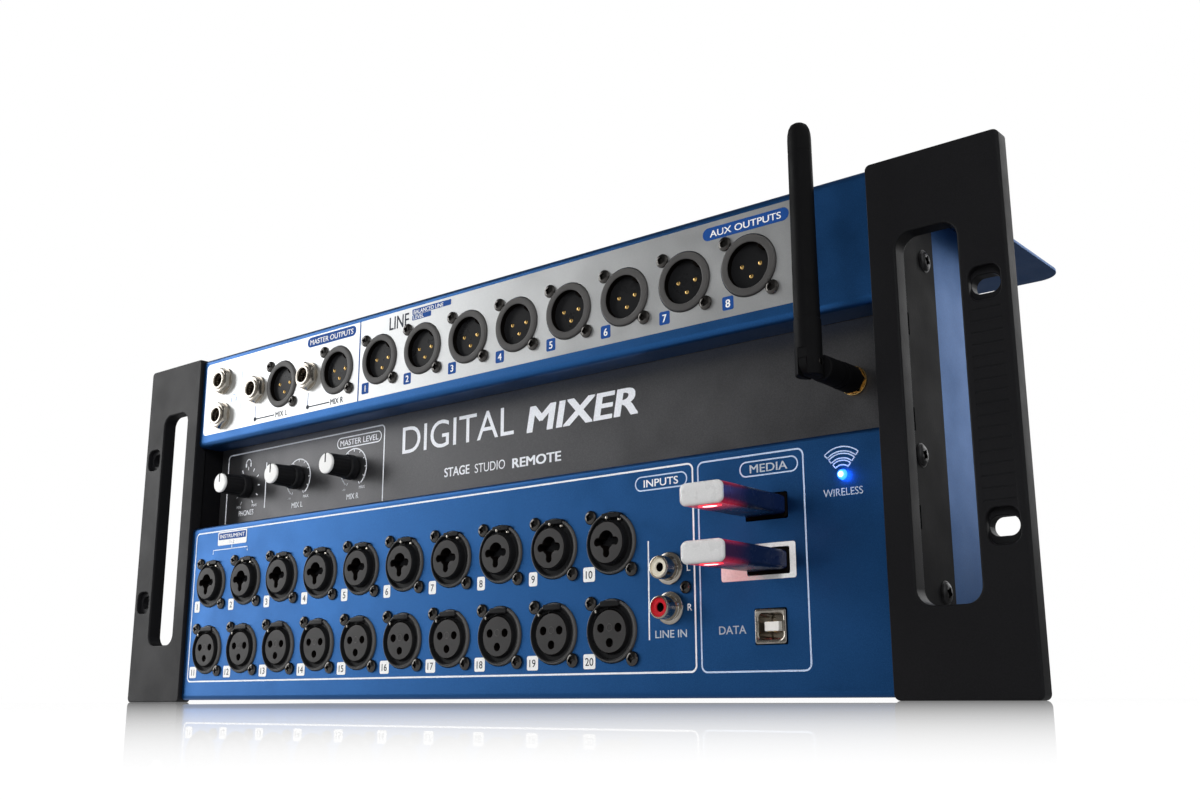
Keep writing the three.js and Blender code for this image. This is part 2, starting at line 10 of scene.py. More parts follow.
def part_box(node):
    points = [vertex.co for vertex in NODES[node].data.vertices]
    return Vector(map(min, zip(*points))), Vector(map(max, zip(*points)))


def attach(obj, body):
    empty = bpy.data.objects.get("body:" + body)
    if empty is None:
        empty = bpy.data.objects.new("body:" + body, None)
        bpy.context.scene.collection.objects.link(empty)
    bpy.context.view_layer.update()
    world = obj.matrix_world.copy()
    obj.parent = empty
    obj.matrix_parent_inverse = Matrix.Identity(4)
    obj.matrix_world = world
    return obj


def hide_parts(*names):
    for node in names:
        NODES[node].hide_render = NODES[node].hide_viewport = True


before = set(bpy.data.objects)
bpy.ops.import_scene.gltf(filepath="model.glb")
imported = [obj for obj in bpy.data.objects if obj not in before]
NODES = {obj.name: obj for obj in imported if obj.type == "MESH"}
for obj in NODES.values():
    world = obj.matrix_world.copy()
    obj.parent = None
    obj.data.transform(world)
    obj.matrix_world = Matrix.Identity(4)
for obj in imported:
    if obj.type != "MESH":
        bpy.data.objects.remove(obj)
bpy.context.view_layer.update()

# ---------------------------------------------------------------- frame
# Lengths below are millimetres from the ears' front face (Y = 0), as in the part. OY is that face in the row frame.
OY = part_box("ear_left")[0].y * 1000.0


def W(x, y, z):
    return Vector((x / 1000.0, (y + OY) / 1000.0, z / 1000.0))


CASE_HALF, SHEET = 194.2, 1.5
FRONT_Y, RECESS_Y = 2.0, 16.5
UPPER_LOW, LOWER_TOP, CASE_TOP, CASE_BOTTOM = 129.3, 87.0, 176.7, 1.0
PITCH = 28.55
IN_X = [-175.2 + PITCH * i for i in range(10)]
COMBO_Z, XLRIN_Z, OUT_Z = 57.7, 25.3, 152.8
AUX_X = [-53.8 + PITCH * i for i in range(8)]
MASTER_X = [-126.3, -84.2]
OUT_X = MASTER_X + AUX_X
JACKS = {"phones_jack_upper": (-175.2, 162.1), "phones_jack_lower": (-175.2, 143.6), "mix_l_jack": (-146.5, 153.0), "mix_r_jack": (-105.0, 153.0)}
KNOBS = {"knob_phones": -170.3, "knob_mix_l": -128.4, "knob_mix_r": -86.5}
KNOB_Z = 108.0
RCA_X, RCA_Z = 109.0, (46.4, 32.3)
MEDIA_X, MEDIA_Z = 150.0, {"upper": 64.8, "lower": 46.2}
PB_X, PB_Z, PB_W, PB_H = 150.3, 24.4, 12.1, 11.6
LED_X, LED_Z = 179.6, 72.6
ANT_X, ANT_Z, PIV_Y = 178.2, 107.3, -14.2


# ---------------------------------------------------------------- materials
class Tree:
    def __init__(self, name):
        self.mat = bpy.data.materials.new(name)
        self.mat.use_nodes = True
        self.nt = self.mat.node_tree
        self.nt.nodes.clear()
        self.out = self.nt.nodes.new("ShaderNodeOutputMaterial")
        self.p = self.nt.nodes.new("ShaderNodeBsdfPrincipled")
        self.link(self.p.outputs["BSDF"], self.out.inputs["Surface"])
        tc = self.nt.nodes.new("ShaderNodeTexCoord")
        self.co = tc.outputs["Object"]

    def link(self, a, b):
        self.nt.links.new(a, b)

    def node(self, kind, **props):
        n = self.nt.nodes.new(kind)
        for k, v in props.items():
            setattr(n, k, v)
        return n

    def scaled(self, x, y, z):
        m = self.node("ShaderNodeMapping")
        m.inputs["Scale"].default_value = (x, y, z)
        self.link(self.co, m.inputs["Vector"])
        return m.outputs["Vector"]

    def noise(self, scale, detail=3.0, rough=0.55, co=None, dist=0.0):
        n = self.node("ShaderNodeTexNoise")
        n.inputs["Scale"].default_value = scale
        n.inputs["Detail"].default_value = detail
        n.inputs["Roughness"].default_value = rough
        n.inputs["Distortion"].default_value = dist
        self.link(co or self.co, n.inputs["Vector"])
        return n.outputs["Fac"]

    def voronoi(self, scale, feature="F1", co=None):
        n = self.node("ShaderNodeTexVoronoi")
        n.feature = feature
        n.inputs["Scale"].default_value = scale
        self.link(co or self.co, n.inputs["Vector"])
        return n

    def ramp(self, fac, stops):
        n = self.node("ShaderNodeValToRGB")
        r = n.color_ramp
        while len(r.elements) < len(stops):
            r.elements.new(0.5)
        for e, (pos, col) in zip(r.elements, stops):
            e.position = pos
            e.color = (*col, 1.0) if len(col) == 3 else (col[0], col[0], col[0], 1.0)
        self.link(fac, n.inputs["Fac"])
        return n.outputs["Color"]

    def remap(self, fac, a, b, c, d):
        n = self.node("ShaderNodeMapRange")
        n.inputs["From Min"].default_value = a
        n.inputs["From Max"].default_value = b
        n.inputs["To Min"].default_value = c
        n.inputs["To Max"].default_value = d
        self.link(fac, n.inputs["Value"])
        return n.outputs["Result"]

    def mix(self, fac, a, b, mode="MIX"):
        n = self.node("ShaderNodeMix", data_type="RGBA", blend_type=mode)
        for s, v in ((n.inputs[0], fac), (n.inputs[6], a), (n.inputs[7], b)):
            if isinstance(v, (int, float)):
                s.default_value = v
            elif isinstance(v, tuple):
                s.default_value = (*v, 1.0)
            else:
                self.link(v, s)
        return n.outputs[2]

    def bump(self, height, strength, distance):
        n = self.node("ShaderNodeBump")
        n.inputs["Strength"].default_value = strength
        n.inputs["Distance"].default_value = distance
        self.link(height, n.inputs["Height"])
        self.link(n.outputs["Normal"], self.p.inputs["Normal"])

    def set(self, **k):
        for name, v in k.items():
            s = self.p.inputs[name.replace("_", " ")]
            if isinstance(v, (int, float)):
                s.default_value = v
            elif isinstance(v, tuple):
                s.default_value = (*v, 1.0)
            else:
                self.link(v, s)


def dim(c, k):
    return tuple(min(1.0, x * k) for x in c)


def enamel(name, col, rough=(0.36, 0.5), fleck=0.25, grain=3200.0, bump=0.12, metal=0.0, coat=0.0, spec=0.5):
    """Sprayed or powder-coated metal: slow tone drift, fine fleck and orange peel."""
    t = Tree(name)
    drift = t.noise(9.0, 4.0)
    fine = t.noise(grain, 2.0, 0.6)
    base = t.mix(t.remap(drift, 0.3, 0.7, 0.0, 1.0), dim(col, 0.93), dim(col, 1.07))
    flecked = t.mix(t.remap(fine, 0.42, 0.66, 0.0, fleck), base, dim(col, 1.9))
    spots = t.voronoi(grain * 0.45)
    dark = t.mix(t.remap(spots.outputs["Distance"], 0.02, 0.22, fleck * 0.8, 0.0), flecked, dim(col, 0.5))
    t.set(Base_Color=dark, Roughness=t.remap(t.noise(60.0, 5.0), 0.3, 0.7, *rough), Metallic=metal)
    t.p.inputs["Specular IOR Level"].default_value = spec
    t.p.inputs["Coat Weight"].default_value = coat
    t.p.inputs["Coat Roughness"].default_value = 0.12
    t.bump(t.noise(grain * 0.55, 3.0), bump, 0.00012)
    return t.mat


def ink(name, col, rough=0.45, metal=0.0, spread=0.06):
    """Screen print: slightly uneven cover over the paint's grain."""
    t = Tree(name)
    n = t.noise(1400.0, 3.0)
    c = t.mix(t.remap(n, 0.35, 0.65, 0.0, 1.0), dim(col, 1 - spread), dim(col, 1 + spread))
    t.set(Base_Color=c, Roughness=t.remap(t.noise(300.0), 0.3, 0.7, rough - 0.06, rough + 0.08), Metallic=metal)
    t.p.inputs["Specular IOR Level"].default_value = 0.06
    t.bump(t.noise(2300.0), 0.05, 0.00008)
    return t.mat


def silver_print(name):
    """Pale metallic paint of the output field."""
    t = Tree(name)
    fine = t.noise(3600.0, 2.0, 0.6)
    drift = t.noise(7.0, 4.0)
    base = t.mix(t.remap(drift, 0.3, 0.7, 0.0, 1.0), (0.56, 0.572, 0.576), (0.61, 0.622, 0.624))
    c = t.mix(t.remap(fine, 0.4, 0.68, 0.0, 0.3), base, (0.74, 0.75, 0.76))
    t.set(Base_Color=c, Roughness=t.remap(t.noise(50.0, 4.0), 0.3, 0.7, 0.3, 0.38), Metallic=0.85)
    t.p.inputs["Specular IOR Level"].default_value = 0.2
    t.bump(t.noise(1900.0), 0.08, 0.0001)
    return t.mat


def metal(name, col, rough=(0.16, 0.3), brush=None, bump=0.05, stain=0.12):
    """Plated or machined metal: tone patches, fine turning or brush lines, uneven polish."""
    t = Tree(name)
    co = t.scaled(*brush) if brush else None
    n = t.noise(180.0, 5.0, 0.6)
    lines = t.noise(900.0, 2.0, 0.5, co)
    c = t.mix(t.remap(n, 0.35, 0.7, 0.0, 1.0), dim(col, 1 - stain), dim(col, 1.05))
    c = t.mix(t.remap(lines, 0.45, 0.6, 0.0, 0.12), c, dim(col, 0.6))
    t.set(Base_Color=c, Metallic=1.0, Roughness=t.remap(t.noise(350.0, 4.0), 0.3, 0.7, *rough))
    t.bump(lines, bump, 0.00005)
    return t.mat


def plastic(name, col, rough=(0.32, 0.46), grain=1500.0, bump=0.1, spread=0.1, spec=0.14):
    """Moulded plastic: faint spark-eroded grain, slight tone drift, finger wear in the gloss."""
    t = Tree(name)
    a = t.noise(40.0, 4.0)
    b = t.noise(grain, 3.0, 0.6)
    c = t.mix(t.remap(a, 0.3, 0.7, 0.0, 1.0), dim(col, 1 - spread), dim(col, 1 + spread))
    c = t.mix(t.remap(b, 0.5, 0.72, 0.0, 0.2), c, dim(col, 1.6))
    t.set(Base_Color=c, Roughness=t.remap(t.noise(120.0, 5.0), 0.3, 0.7, *rough))
    t.p.inputs["Specular IOR Level"].default_value = spec
    t.bump(b, bump, 0.00008)
    return t.mat


def glow(name, col, strength, base=(0.5, 0.5, 0.5), rough=0.2):
    """Lit lens with a slightly mottled moulding."""
    t = Tree(name)
    n = t.noise(900.0, 3.0)
    c = t.mix(t.remap(n, 0.3, 0.7, 0.0, 1.0), dim(col, 0.85), col)
    t.set(Base_Color=base, Roughness=t.remap(t.noise(500.0), 0.3, 0.7, rough, rough + 0.15), Emission_Color=c)
    t.p.inputs["Emission Strength"].default_value = strength
    t.bump(n, 0.05, 0.00005)
    return t.mat


def painted_glow_body(name, col, zc):
    """Navy moulding with a painted red glow (emission) along its upper and lower edges next to the cap, standing in for
    light from the stick's lamp.
    """
    m = plastic(name, col, rough=(0.2, 0.34), grain=2600.0, bump=0.06)
    nt = m.node_tree
    p = next(n for n in nt.nodes if n.type == "BSDF_PRINCIPLED")
    tc, sep = nt.nodes.new("ShaderNodeTexCoord"), nt.nodes.new("ShaderNodeSeparateXYZ")
    nt.links.new(tc.outputs["Object"], sep.inputs[0])
    def remap(src, a, b, c, d):
        n = nt.nodes.new("ShaderNodeMapRange")
        n.interpolation_type = "SMOOTHSTEP"
        for i, v in ((1, a), (2, b), (3, c), (4, d)):
            n.inputs[i].default_value = v
        nt.links.new(src, n.inputs[0])
        return n.outputs[0]
    # painted glow: red emission is strongest at the cap end and near the upper and lower edges, and fades along the
    # body
    along = remap(sep.outputs["Y"], (-33.0 + OY) / 1000, (-20.0 + OY) / 1000, 1.0, 0.0)
    off, ab, mul = nt.nodes.new("ShaderNodeMath"), nt.nodes.new("ShaderNodeMath"), nt.nodes.new("ShaderNodeMath")
    off.operation, ab.operation, mul.operation = "SUBTRACT", "ABSOLUTE", "MULTIPLY"
    nt.links.new(sep.outputs["Z"], off.inputs[0])
    off.inputs[1].default_value = zc / 1000
    nt.links.new(off.outputs[0], ab.inputs[0])
    nt.links.new(along, mul.inputs[0])
    nt.links.new(remap(ab.outputs[0], 0.0014, 0.0040, 0.02, 0.32), mul.inputs[1])
    nt.links.new(mul.outputs[0], p.inputs["Emission Strength"])
    p.inputs["Emission Color"].default_value = (1.0, 0.03, 0.07, 1.0)
    return m


def board(name):
    """Solder mask with tracks and pads."""
    t = Tree(name)
    tracks = t.voronoi(260.0, "DISTANCE_TO_EDGE", t.scaled(1.0, 0.2, 0.35))
    pads = t.voronoi(520.0)
    c = t.mix(t.remap(tracks.outputs["Distance"], 0.0, 0.05, 0.55, 0.0), (0.012, 0.1, 0.035), (0.03, 0.2, 0.07))
    c = t.mix(t.remap(pads.outputs["Distance"], 0.0, 0.16, 1.0, 0.0), c, (0.62, 0.6, 0.52))
    t.set(Base_Color=c, Roughness=t.remap(t.noise(200.0), 0.3, 0.7, 0.3, 0.5))
    t.bump(tracks.outputs["Distance"], 0.2, 0.0001)
    return t.mat


M = {
    "blue": enamel("blue_enamel", (0.02, 0.096, 0.275), rough=(0.34, 0.44), fleck=0.3, bump=0.14, metal=0.95, spec=0.3),
    "silver": silver_print("pale_metallic_print"),
    "grey": enamel("grey_enamel", (0.09, 0.09, 0.094), rough=(0.34, 0.44), fleck=0.3, bump=0.1, metal=0.82),
    "ear": enamel("black_powder_coat", (0.0085, 0.0085, 0.0095), rough=(0.38, 0.5), fleck=0.25, grain=1900.0, bump=0.26, spec=0.13),
    "ink_white": ink("white_ink", (0.82, 0.84, 0.88)),
    "ink_soft": ink("soft_white_ink", (0.46, 0.53, 0.6)),
    "ink_pale": ink("pale_blue_ink", (0.5, 0.62, 0.82)),
    "ink_blue": ink("blue_ink", (0.015, 0.07, 0.27)),
    "ink_dark": ink("dark_ink", (0.03, 0.035, 0.05)),
    "ink_tag": ink("tag_white_ink", (0.85, 0.85, 0.84)),
    # the ear's black powder coat again, darker and less glossy on the side flange: painted shade, since the flange sits
    # back behind the slot
    "ear_flange_shaded": enamel("black_powder_coat_flange_painted_shade", (0.006, 0.006, 0.0068), rough=(0.45, 0.56), fleck=0.2, grain=1900.0, bump=0.26, spec=0.05),
    "ring_grey": plastic("socket_ring_grey", (0.074, 0.072, 0.071), rough=(0.3, 0.42), grain=2600.0),
    "ring_black": plastic("socket_ring_black", (0.01, 0.0102, 0.011), rough=(0.25, 0.38)),
    "face_grey": plastic("socket_face_grey", (0.042, 0.041, 0.041), rough=(0.34, 0.48), grain=2600.0),
    "lip_grey": plastic("socket_lip_grey", (0.09, 0.088, 0.086), rough=(0.25, 0.38)),
    # near-black plastic of the socket and port insides, darkened further and given no gloss: painted shade deep in the
    # openings
    "black_painted_shade": plastic("socket_inside_black_painted_shade", (0.0045, 0.0036, 0.0032), rough=(0.75, 0.9), grain=900.0, spec=0.0),
    "guide": plastic("socket_guide_grey", (0.03, 0.03, 0.032), rough=(0.2, 0.3)),
    "gold": metal("gold_pin", (0.83, 0.55, 0.2), rough=(0.14, 0.26)),
    "sma": metal("gold_plated_brass", (0.8, 0.53, 0.2), rough=(0.16, 0.3), brush=(1, 30, 1)),
    "nickel": metal("nickel_plate", (0.56, 0.52, 0.46), rough=(0.14, 0.26), brush=(1, 25, 1), stain=0.25),
    "darkchrome": metal("black_nickel_screw", (0.1, 0.095, 0.09), rough=(0.12, 0.24)),
    "screw_black": metal("blackened_screw", (0.05, 0.05, 0.052), rough=(0.26, 0.4)),
    "latch": metal("latch_steel", (0.5, 0.47, 0.42), rough=(0.2, 0.35)),
    "knob": plastic("knob_black", (0.012, 0.012, 0.013), rough=(0.34, 0.46), grain=2200.0, bump=0.16),
    "cap": plastic("knob_cap_white", (0.8, 0.8, 0.79), rough=(0.26, 0.36), grain=2200.0, bump=0.05, spread=0.03),
    "brown": plastic("jack_insert", (0.2, 0.15, 0.115), rough=(0.3, 0.45)),
    "cream": plastic("phono_insert_cream", (0.75, 0.7, 0.58), rough=(0.3, 0.42), spread=0.05),
    "red": plastic("phono_insert_red", (0.55, 0.02, 0.03), rough=(0.28, 0.4), spread=0.06),
    "tongue": plastic("port_tongue_white", (0.78, 0.77, 0.73), rough=(0.35, 0.5), spread=0.04),
    "stick_cap": plastic("stick_silver", (0.64, 0.64, 0.64), rough=(0.22, 0.34), grain=3000.0, bump=0.05, spread=0.04, spec=0.6),
    "stick_blue_upper": painted_glow_body("stick_navy_upper", (0.007, 0.015, 0.052), MEDIA_Z["upper"]),
    "stick_blue_lower": painted_glow_body("stick_navy_lower", (0.007, 0.015, 0.052), MEDIA_Z["lower"]),
    "stick_window": glow("stick_red_window", (1.0, 0.2, 0.2), 9.0, (0.5, 0.02, 0.03)),
    "stick_window_rim": glow("stick_red_window_rim", (1.0, 0.04, 0.06), 1.6, (0.4, 0.02, 0.03)),
    "led_core": glow("lamp_core", (0.55, 0.85, 1.0), 3.0, (0.3, 0.4, 0.5)),
    "led": glow("lamp_blue", (0.02, 0.2, 1.0), 3.0, (0.1, 0.2, 0.5)),
    "antenna": plastic("antenna_black", (0.0045, 0.0045, 0.005), rough=(0.46, 0.6), grain=2600.0, bump=0.2, spec=0.08),
    "pcb": board("green_board"),
    "psu": metal("psu_sheet", (0.55, 0.56, 0.58), rough=(0.3, 0.45), brush=(0.3, 6, 6)),
    "inlet": plastic("inlet_black", (0.016, 0.016, 0.017), rough=(0.3, 0.42)),
    "rocker": plastic("rocker_black", (0.02, 0.02, 0.021), rough=(0.2, 0.3)),
}


# ---------------------------------------------------------------- mesh building, in part millimetres
class MB:
    def __init__(self):
        self.v, self.f, self.m = [], [], []
        self.mats = []

    def slot(self, key):
        if key not in self.mats:
            self.mats.append(key)
        return self.mats.index(key)

    def add(self, verts, faces, key):
        o, s = len(self.v), self.slot(key)
        self.v += [tuple(p) for p in verts]
        self.f += [tuple(i + o for i in f) for f in faces]
        self.m += [s] * len(faces)

    def lathe(self, x, z, prof, key, n=40, axis="Y", radial=None, closed=False, turn=0.0):
        """prof: (r, y) from one end to the other; radial(k, i): factor on the radius at profile point k, step i."""
        verts, rows = [], []
        for k, (r, y) in enumerate(prof):
            if r < 1e-6:
                rows.append([len(verts)] * n)
                verts.append((x, y, z))
                continue
            row = []
            for i in range(n):
                a = 2 * math.pi * i / n + turn
                q = r * (radial(k, i) if radial else 1.0)
                row.append(len(verts))
                verts.append((x + q * math.cos(a), y, z + q * math.sin(a)))
            rows.append(row)
        faces = []
        pairs = list(zip(rows, rows[1:])) + ([(rows[-1], rows[0])] if closed else [])
        for a, b in pairs:
            for i in range(n):
                j = (i + 1) % n
                q = []
                for w in (a[i], a[j], b[j], b[i]):
                    if w not in q:
                        q.append(w)
                if len(q) > 2:
                    faces.append(tuple(q))
        if axis == "Z":  # profile y runs along Z, radius in X and Y
            verts = [(p[0], p[2] - z + 0.0, p[1]) for p in verts]
        if axis == "X":
            verts = [(p[1], p[0] - x + 0.0, p[2]) for p in verts]
        self.add(verts, faces, key)

    def plate(self, outer, holes, y0, y1, key, b=0.0, seg=2, hb=None, side=None, back=True, front_key=None):
        """A plate normal to Y between y0 (front) and y1. outer(d) and hole(d) give outlines moved d into the material."""
        hb = b if hb is None else hb
        def levels(bv):
            if bv <= 0:
                return [(0.0, 0.0)]
            return [(bv * (1 - math.sin(t)), bv * (1 - math.cos(t))) for t in [math.pi / 2 * k / seg for k in range(seg + 1)]]
        lo, lh = levels(b), levels(hb)
        for yy, d in ((y0, 1), (y1, -1)):
            if yy == y1 and not back:
                continue
            loops = [outer(lo[0][0])] + [h(lh[0][0]) for h in holes]
            flat = [p for l in loops for p in l]
            tris = tessellate_polygon([[Vector((p[0], p[1], 0)) for p in l] for l in loops])
            self.add([(p[0], yy, p[1]) for p in flat], [tuple(t) for t in tris], front_key if (front_key and yy == y0) else key)
        for fn, lv in [(outer, lo)] + [(h, lh) for h in holes]:
            ring = [(d, y0 + e) for d, e in lv] + ([(d, y1 - e) for d, e in reversed(lv)] if back else [(0.0, y1)])
            verts, n = [], 0
            for d, y in ring:
                l = fn(d)
                n = len(l)
                verts += [(p[0], y, p[1]) for p in l]
            faces = []
            for k in range(len(ring) - 1):
                for i in range(n):
                    j = (i + 1) % n
                    faces.append((k * n + i, k * n + j, (k + 1) * n + j, (k + 1) * n + i))
            self.add(verts, faces, side or key)

    def sweepX(self, prof, x0, x1, key, cap=True):
        """Closed outline of (y, z) points run along X."""
        n = len(prof)
        verts = [(x0, y, z) for y, z in prof] + [(x1, y, z) for y, z in prof]
        faces = [(i, (i + 1) % n, n + (i + 1) % n, n + i) for i in range(n)]
        if cap:
            tris = tessellate_polygon([[Vector((y, z, 0)) for y, z in prof]])
            faces += [tuple(t) for t in tris] + [tuple(i + n for i in t) for t in tris]
        self.add(verts, faces, key)

    def box(self, x0, x1, y0, y1, z0, z1, key, b=0.3, seg=2):
        bm = bmesh.new()
        bmesh.ops.create_cube(bm, size=1.0)
        for v in bm.verts:
            v.co = Vector(((x0 + x1) / 2 + v.co.x * (x1 - x0), (y0 + y1) / 2 + v.co.y * (y1 - y0), (z0 + z1) / 2 + v.co.z * (z1 - z0)))
        if b > 0:
            bmesh.ops.bevel(bm, geom=bm.edges[:], offset=b, segments=seg, affect="EDGES", profile=0.5)
        bm.verts.index_update()
        self.add([tuple(v.co) for v in bm.verts], [tuple(v.index for v in f.verts) for f in bm.faces], key)
        bm.free()

    def moved(self, dx, dy, dz):
        m = MB()
        m.v = [(a + dx, b + dy, c + dz) for a, b, c in self.v]
        m.f, m.m, m.mats = list(self.f), list(self.m), list(self.mats)
        return m

    def merge(self, other):
        for i, key in enumerate(other.mats):
            self.slot(key)
        o = len(self.v)
        self.v += other.v
        self.f += [tuple(i + o for i in f) for f in other.f]
        self.m += [self.slot(other.mats[k]) for k in other.m]

    def build(self, name, body, replaces=(), slot=None, sharp=50.0, weld=1e-4, flip=True):
        me = bpy.data.meshes.new(name)
        me.from_pydata([W(*p) for p in self.v], [], self.f)
        for key in self.mats:
            me.materials.append(M[key])
        me.polygons.foreach_set("material_index", self.m)
        bm = bmesh.new()
        bm.from_mesh(me)
        if weld:
            bmesh.ops.remove_doubles(bm, verts=bm.verts[:], dist=weld / 1000.0)
        bmesh.ops.dissolve_degenerate(bm, dist=1e-8, edges=bm.edges[:])
        if flip:
            bmesh.ops.recalc_face_normals(bm, faces=bm.faces[:])
        bm.to_mesh(me)
        bm.free()
        for p in me.polygons:
            p.use_smooth = True
        me.set_sharp_from_angle(angle=math.radians(sharp))
        ob = bpy.data.objects.new(name, me)
        bpy.context.scene.collection.objects.link(ob)
        even_normals(ob)
        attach(ob, body)
        if replaces:
            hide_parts(*replaces)
        return ob


def even_normals(ob):
    """Shading normals follow the large flat faces, so softened edges blend into them."""
    w = ob.modifiers.new("normals", "WEIGHTED_NORMAL")
    w.mode, w.weight, w.keep_sharp = "FACE_AREA", 100, True


def circle(x, z, r, n=40, turn=0.0):
    return lambda d: [(x + (r + d) * math.cos(2 * math.pi * i / n + turn), z + (r + d) * math.sin(2 * math.pi * i / n + turn)) for i in range(n)]


def rrect(x0, x1, z0, z1, r, seg=6, hole=False):
    """Outline of a rounded rectangle; d moves it into the material."""
    def fn(d):
        s = -d if not hole else d
        a0, a1, b0, b1, q = x0 - s, x1 + s, z0 - s, z1 + s, max(0.02, r + s)
        pts = []
        for cx, cz, t0 in ((a1 - q, b0 + q, -90), (a1 - q, b1 - q, 0), (a0 + q, b1 - q, 90), (a0 + q, b0 + q, 180)):
            for k in range(seg + 1):
                t = math.radians(t0 + 90 * k / seg)
                pts.append((cx + q * math.cos(t), cz + q * math.sin(t)))
        return pts
    return fn


def arc(cy, cz, r, a0, a1, n=8):
    return [(cy + r * math.cos(math.radians(a0 + (a1 - a0) * i / n)), cz + r * math.sin(math.radians(a0 + (a1 - a0) * i / n))) for i in range(n + 1)]


def screw(mb, x, z, face, r=2.75, h=1.3, key="darkchrome", turn=0.3, axis="Y", n=28):
    """Domed screw head with a cross-shaped recess; face is the plane it sits on, towards -Y."""
    lobes = lambda k, i: (1.0 + 0.26 * math.cos(4 * (2 * math.pi * i / n) + turn)) if k >= 6 else 1.0
    prof = [(r * 0.96, face), (r, face - 0.12 * h), (r * 0.98, face - 0.42 * h), (r * 0.86, face - 0.72 * h), (r * 0.66, face - 0.92 * h), (r * 0.56, face - h), (r * 0.44, face - h), (r * 0.4, face - h * 0.2), (0.0, face - h * 0.15)]
    mb.lathe(x, z, prof, key, n=n, radial=lobes)


# ---------------------------------------------------------------- front sheets
t_, R_ = SHEET, 2.2
yB, yL, yT = FRONT_Y + SHEET, RECESS_Y - 0.3, 12.0


def socket_holes(x, z):
    return [circle(x, z, 11.9, 48), circle(x - 9.7, z + 10.3, 1.8, 16), circle(x + 9.7, z - 10.3, 1.8, 16)]


def front_sheet(name, z_lo, z_hi, ledge, holes, node, r_lo=R_, r_hi=R_):
    """Face with its two bends: a ledge running back at one edge and a return at the other."""
    mb = MB()
    lo, hi = z_lo + r_lo, z_hi - r_hi
    mb.plate(rrect(-CASE_HALF, CASE_HALF, lo, hi, 0.02, 1), holes, FRONT_Y, yB, "blue", b=0.0)
    depth_lo = yL if ledge == "low" else yT
    depth_hi = yL if ledge == "high" else yT
    for z0, sgn, depth, rr in ((z_lo, 1, depth_lo, r_lo), (z_hi, -1, depth_hi, r_hi)):
        cy, cz = FRONT_Y + rr, z0 + sgn * rr
        outer = arc(cy, cz, rr, 180, 180 + sgn * 90, 12)
        inner = arc(cy, cz, rr - t_, 180, 180 + sgn * 90, 12)
        e = 0.35
        prof = outer + [(depth - e, z0), (depth, z0 + sgn * e), (depth, z0 + sgn * (t_ - e)), (depth - e, z0 + sgn * t_)] + inner[::-1]
        mb.sweepX(prof, -CASE_HALF, CASE_HALF, "blue")
    return mb.build(name, "case", [node], "blue_paint")


out_holes = [h for x in OUT_X for h in socket_holes(x, OUT_Z)] + [circle(x, z, 5.5, 28) for x, z in JACKS.values()]
front_sheet("front_upper", UPPER_LOW, CASE_TOP, "low", out_holes, "output_panel", 2.8, 3.3)
in_holes = [h for x in IN_X for z in (COMBO_Z, XLRIN_Z) for h in socket_holes(x, z)]
in_holes += [circle(RCA_X, z, 5.0, 28) for z in RCA_Z] + [circle(RCA_X + 6.7, sum(RCA_Z) / 2, 1.8, 16)]
in_holes += [rrect(PB_X - PB_W / 2 - 0.3, PB_X + PB_W / 2 + 0.3, PB_Z - PB_H / 2 - 0.3, PB_Z + PB_H / 2 + 0.3, 0.5, 3, hole=True)]
in_holes += [rrect(MEDIA_X - 8.5, MEDIA_X + 8.5, z - 4.6, z + 4.6, 0.6, 3, hole=True) for z in MEDIA_Z.values()]
in_holes += [circle(LED_X, LED_Z, 1.9, 24)]
front_sheet("front_lower", CASE_BOTTOM, LOWER_TOP, "high", in_holes, "input_panel")

# recessed band
mb = MB()
mb.plate(rrect(-CASE_HALF + 0.3, CASE_HALF - 0.3, 82.0, 134.0, 0.3, 2), [circle(x, KNOB_Z, 4.5, 28) for x in KNOBS.values()] + [circle(ANT_X, ANT_Z, 3.5, 28)], RECESS_Y, RECESS_Y + t_, "grey", b=0.15)
mb.build("band_panel", "case", ["centre_panel"], "grey_paint")


# ---------------------------------------------------------------- lettering and printed lines
def text_mesh(txt, x, z, h, y, width=None, bold=0.0, align="CENTER", spacing=1.0, shear=0.0):
    cu = bpy.data.curves.new("t", "FONT")
    cu.body, cu.align_x, cu.align_y = txt, "LEFT", "BOTTOM_BASELINE"
    cu.size, cu.space_character, cu.shear = 1.0, spacing, shear
    cu.resolution_u = 5
    ob = bpy.data.objects.new("t", cu)
    bpy.context.scene.collection.objects.link(ob)
    bpy.context.view_layer.update()
    me = bpy.data.meshes.new_from_object(ob)
    bpy.data.objects.remove(ob)
    xs = [v.co.x for v in me.vertices] or [0]
    x0, x1 = min(xs), max(xs)
    cap = 0.73  # height of a capital at size 1
    s = h / cap
    sx = s if width is None else width / (x1 - x0)
    w = (x1 - x0) * sx
    ox = x - w / 2 if align == "CENTER" else x if align == "LEFT" else x - w
    verts, faces = [], []
    shifts = [(0, 0)] if bold <= 0 else [(-bold, -bold * 0.5), (bold, bold * 0.5), (bold, -bold * 0.5), (-bold, bold * 0.5), (0, 0)]
    for q, (a, b) in enumerate(shifts):
        o = len(verts)
        verts += [(ox + (v.co.x - x0 + a) * sx, y - 0.0015 * q, z - h / 2 + (v.co.y + b) * s) for v in me.vertices]
        faces += [tuple(i + o for i in p.vertices) for p in me.polygons]
    bpy.data.meshes.remove(me)
    return verts, faces


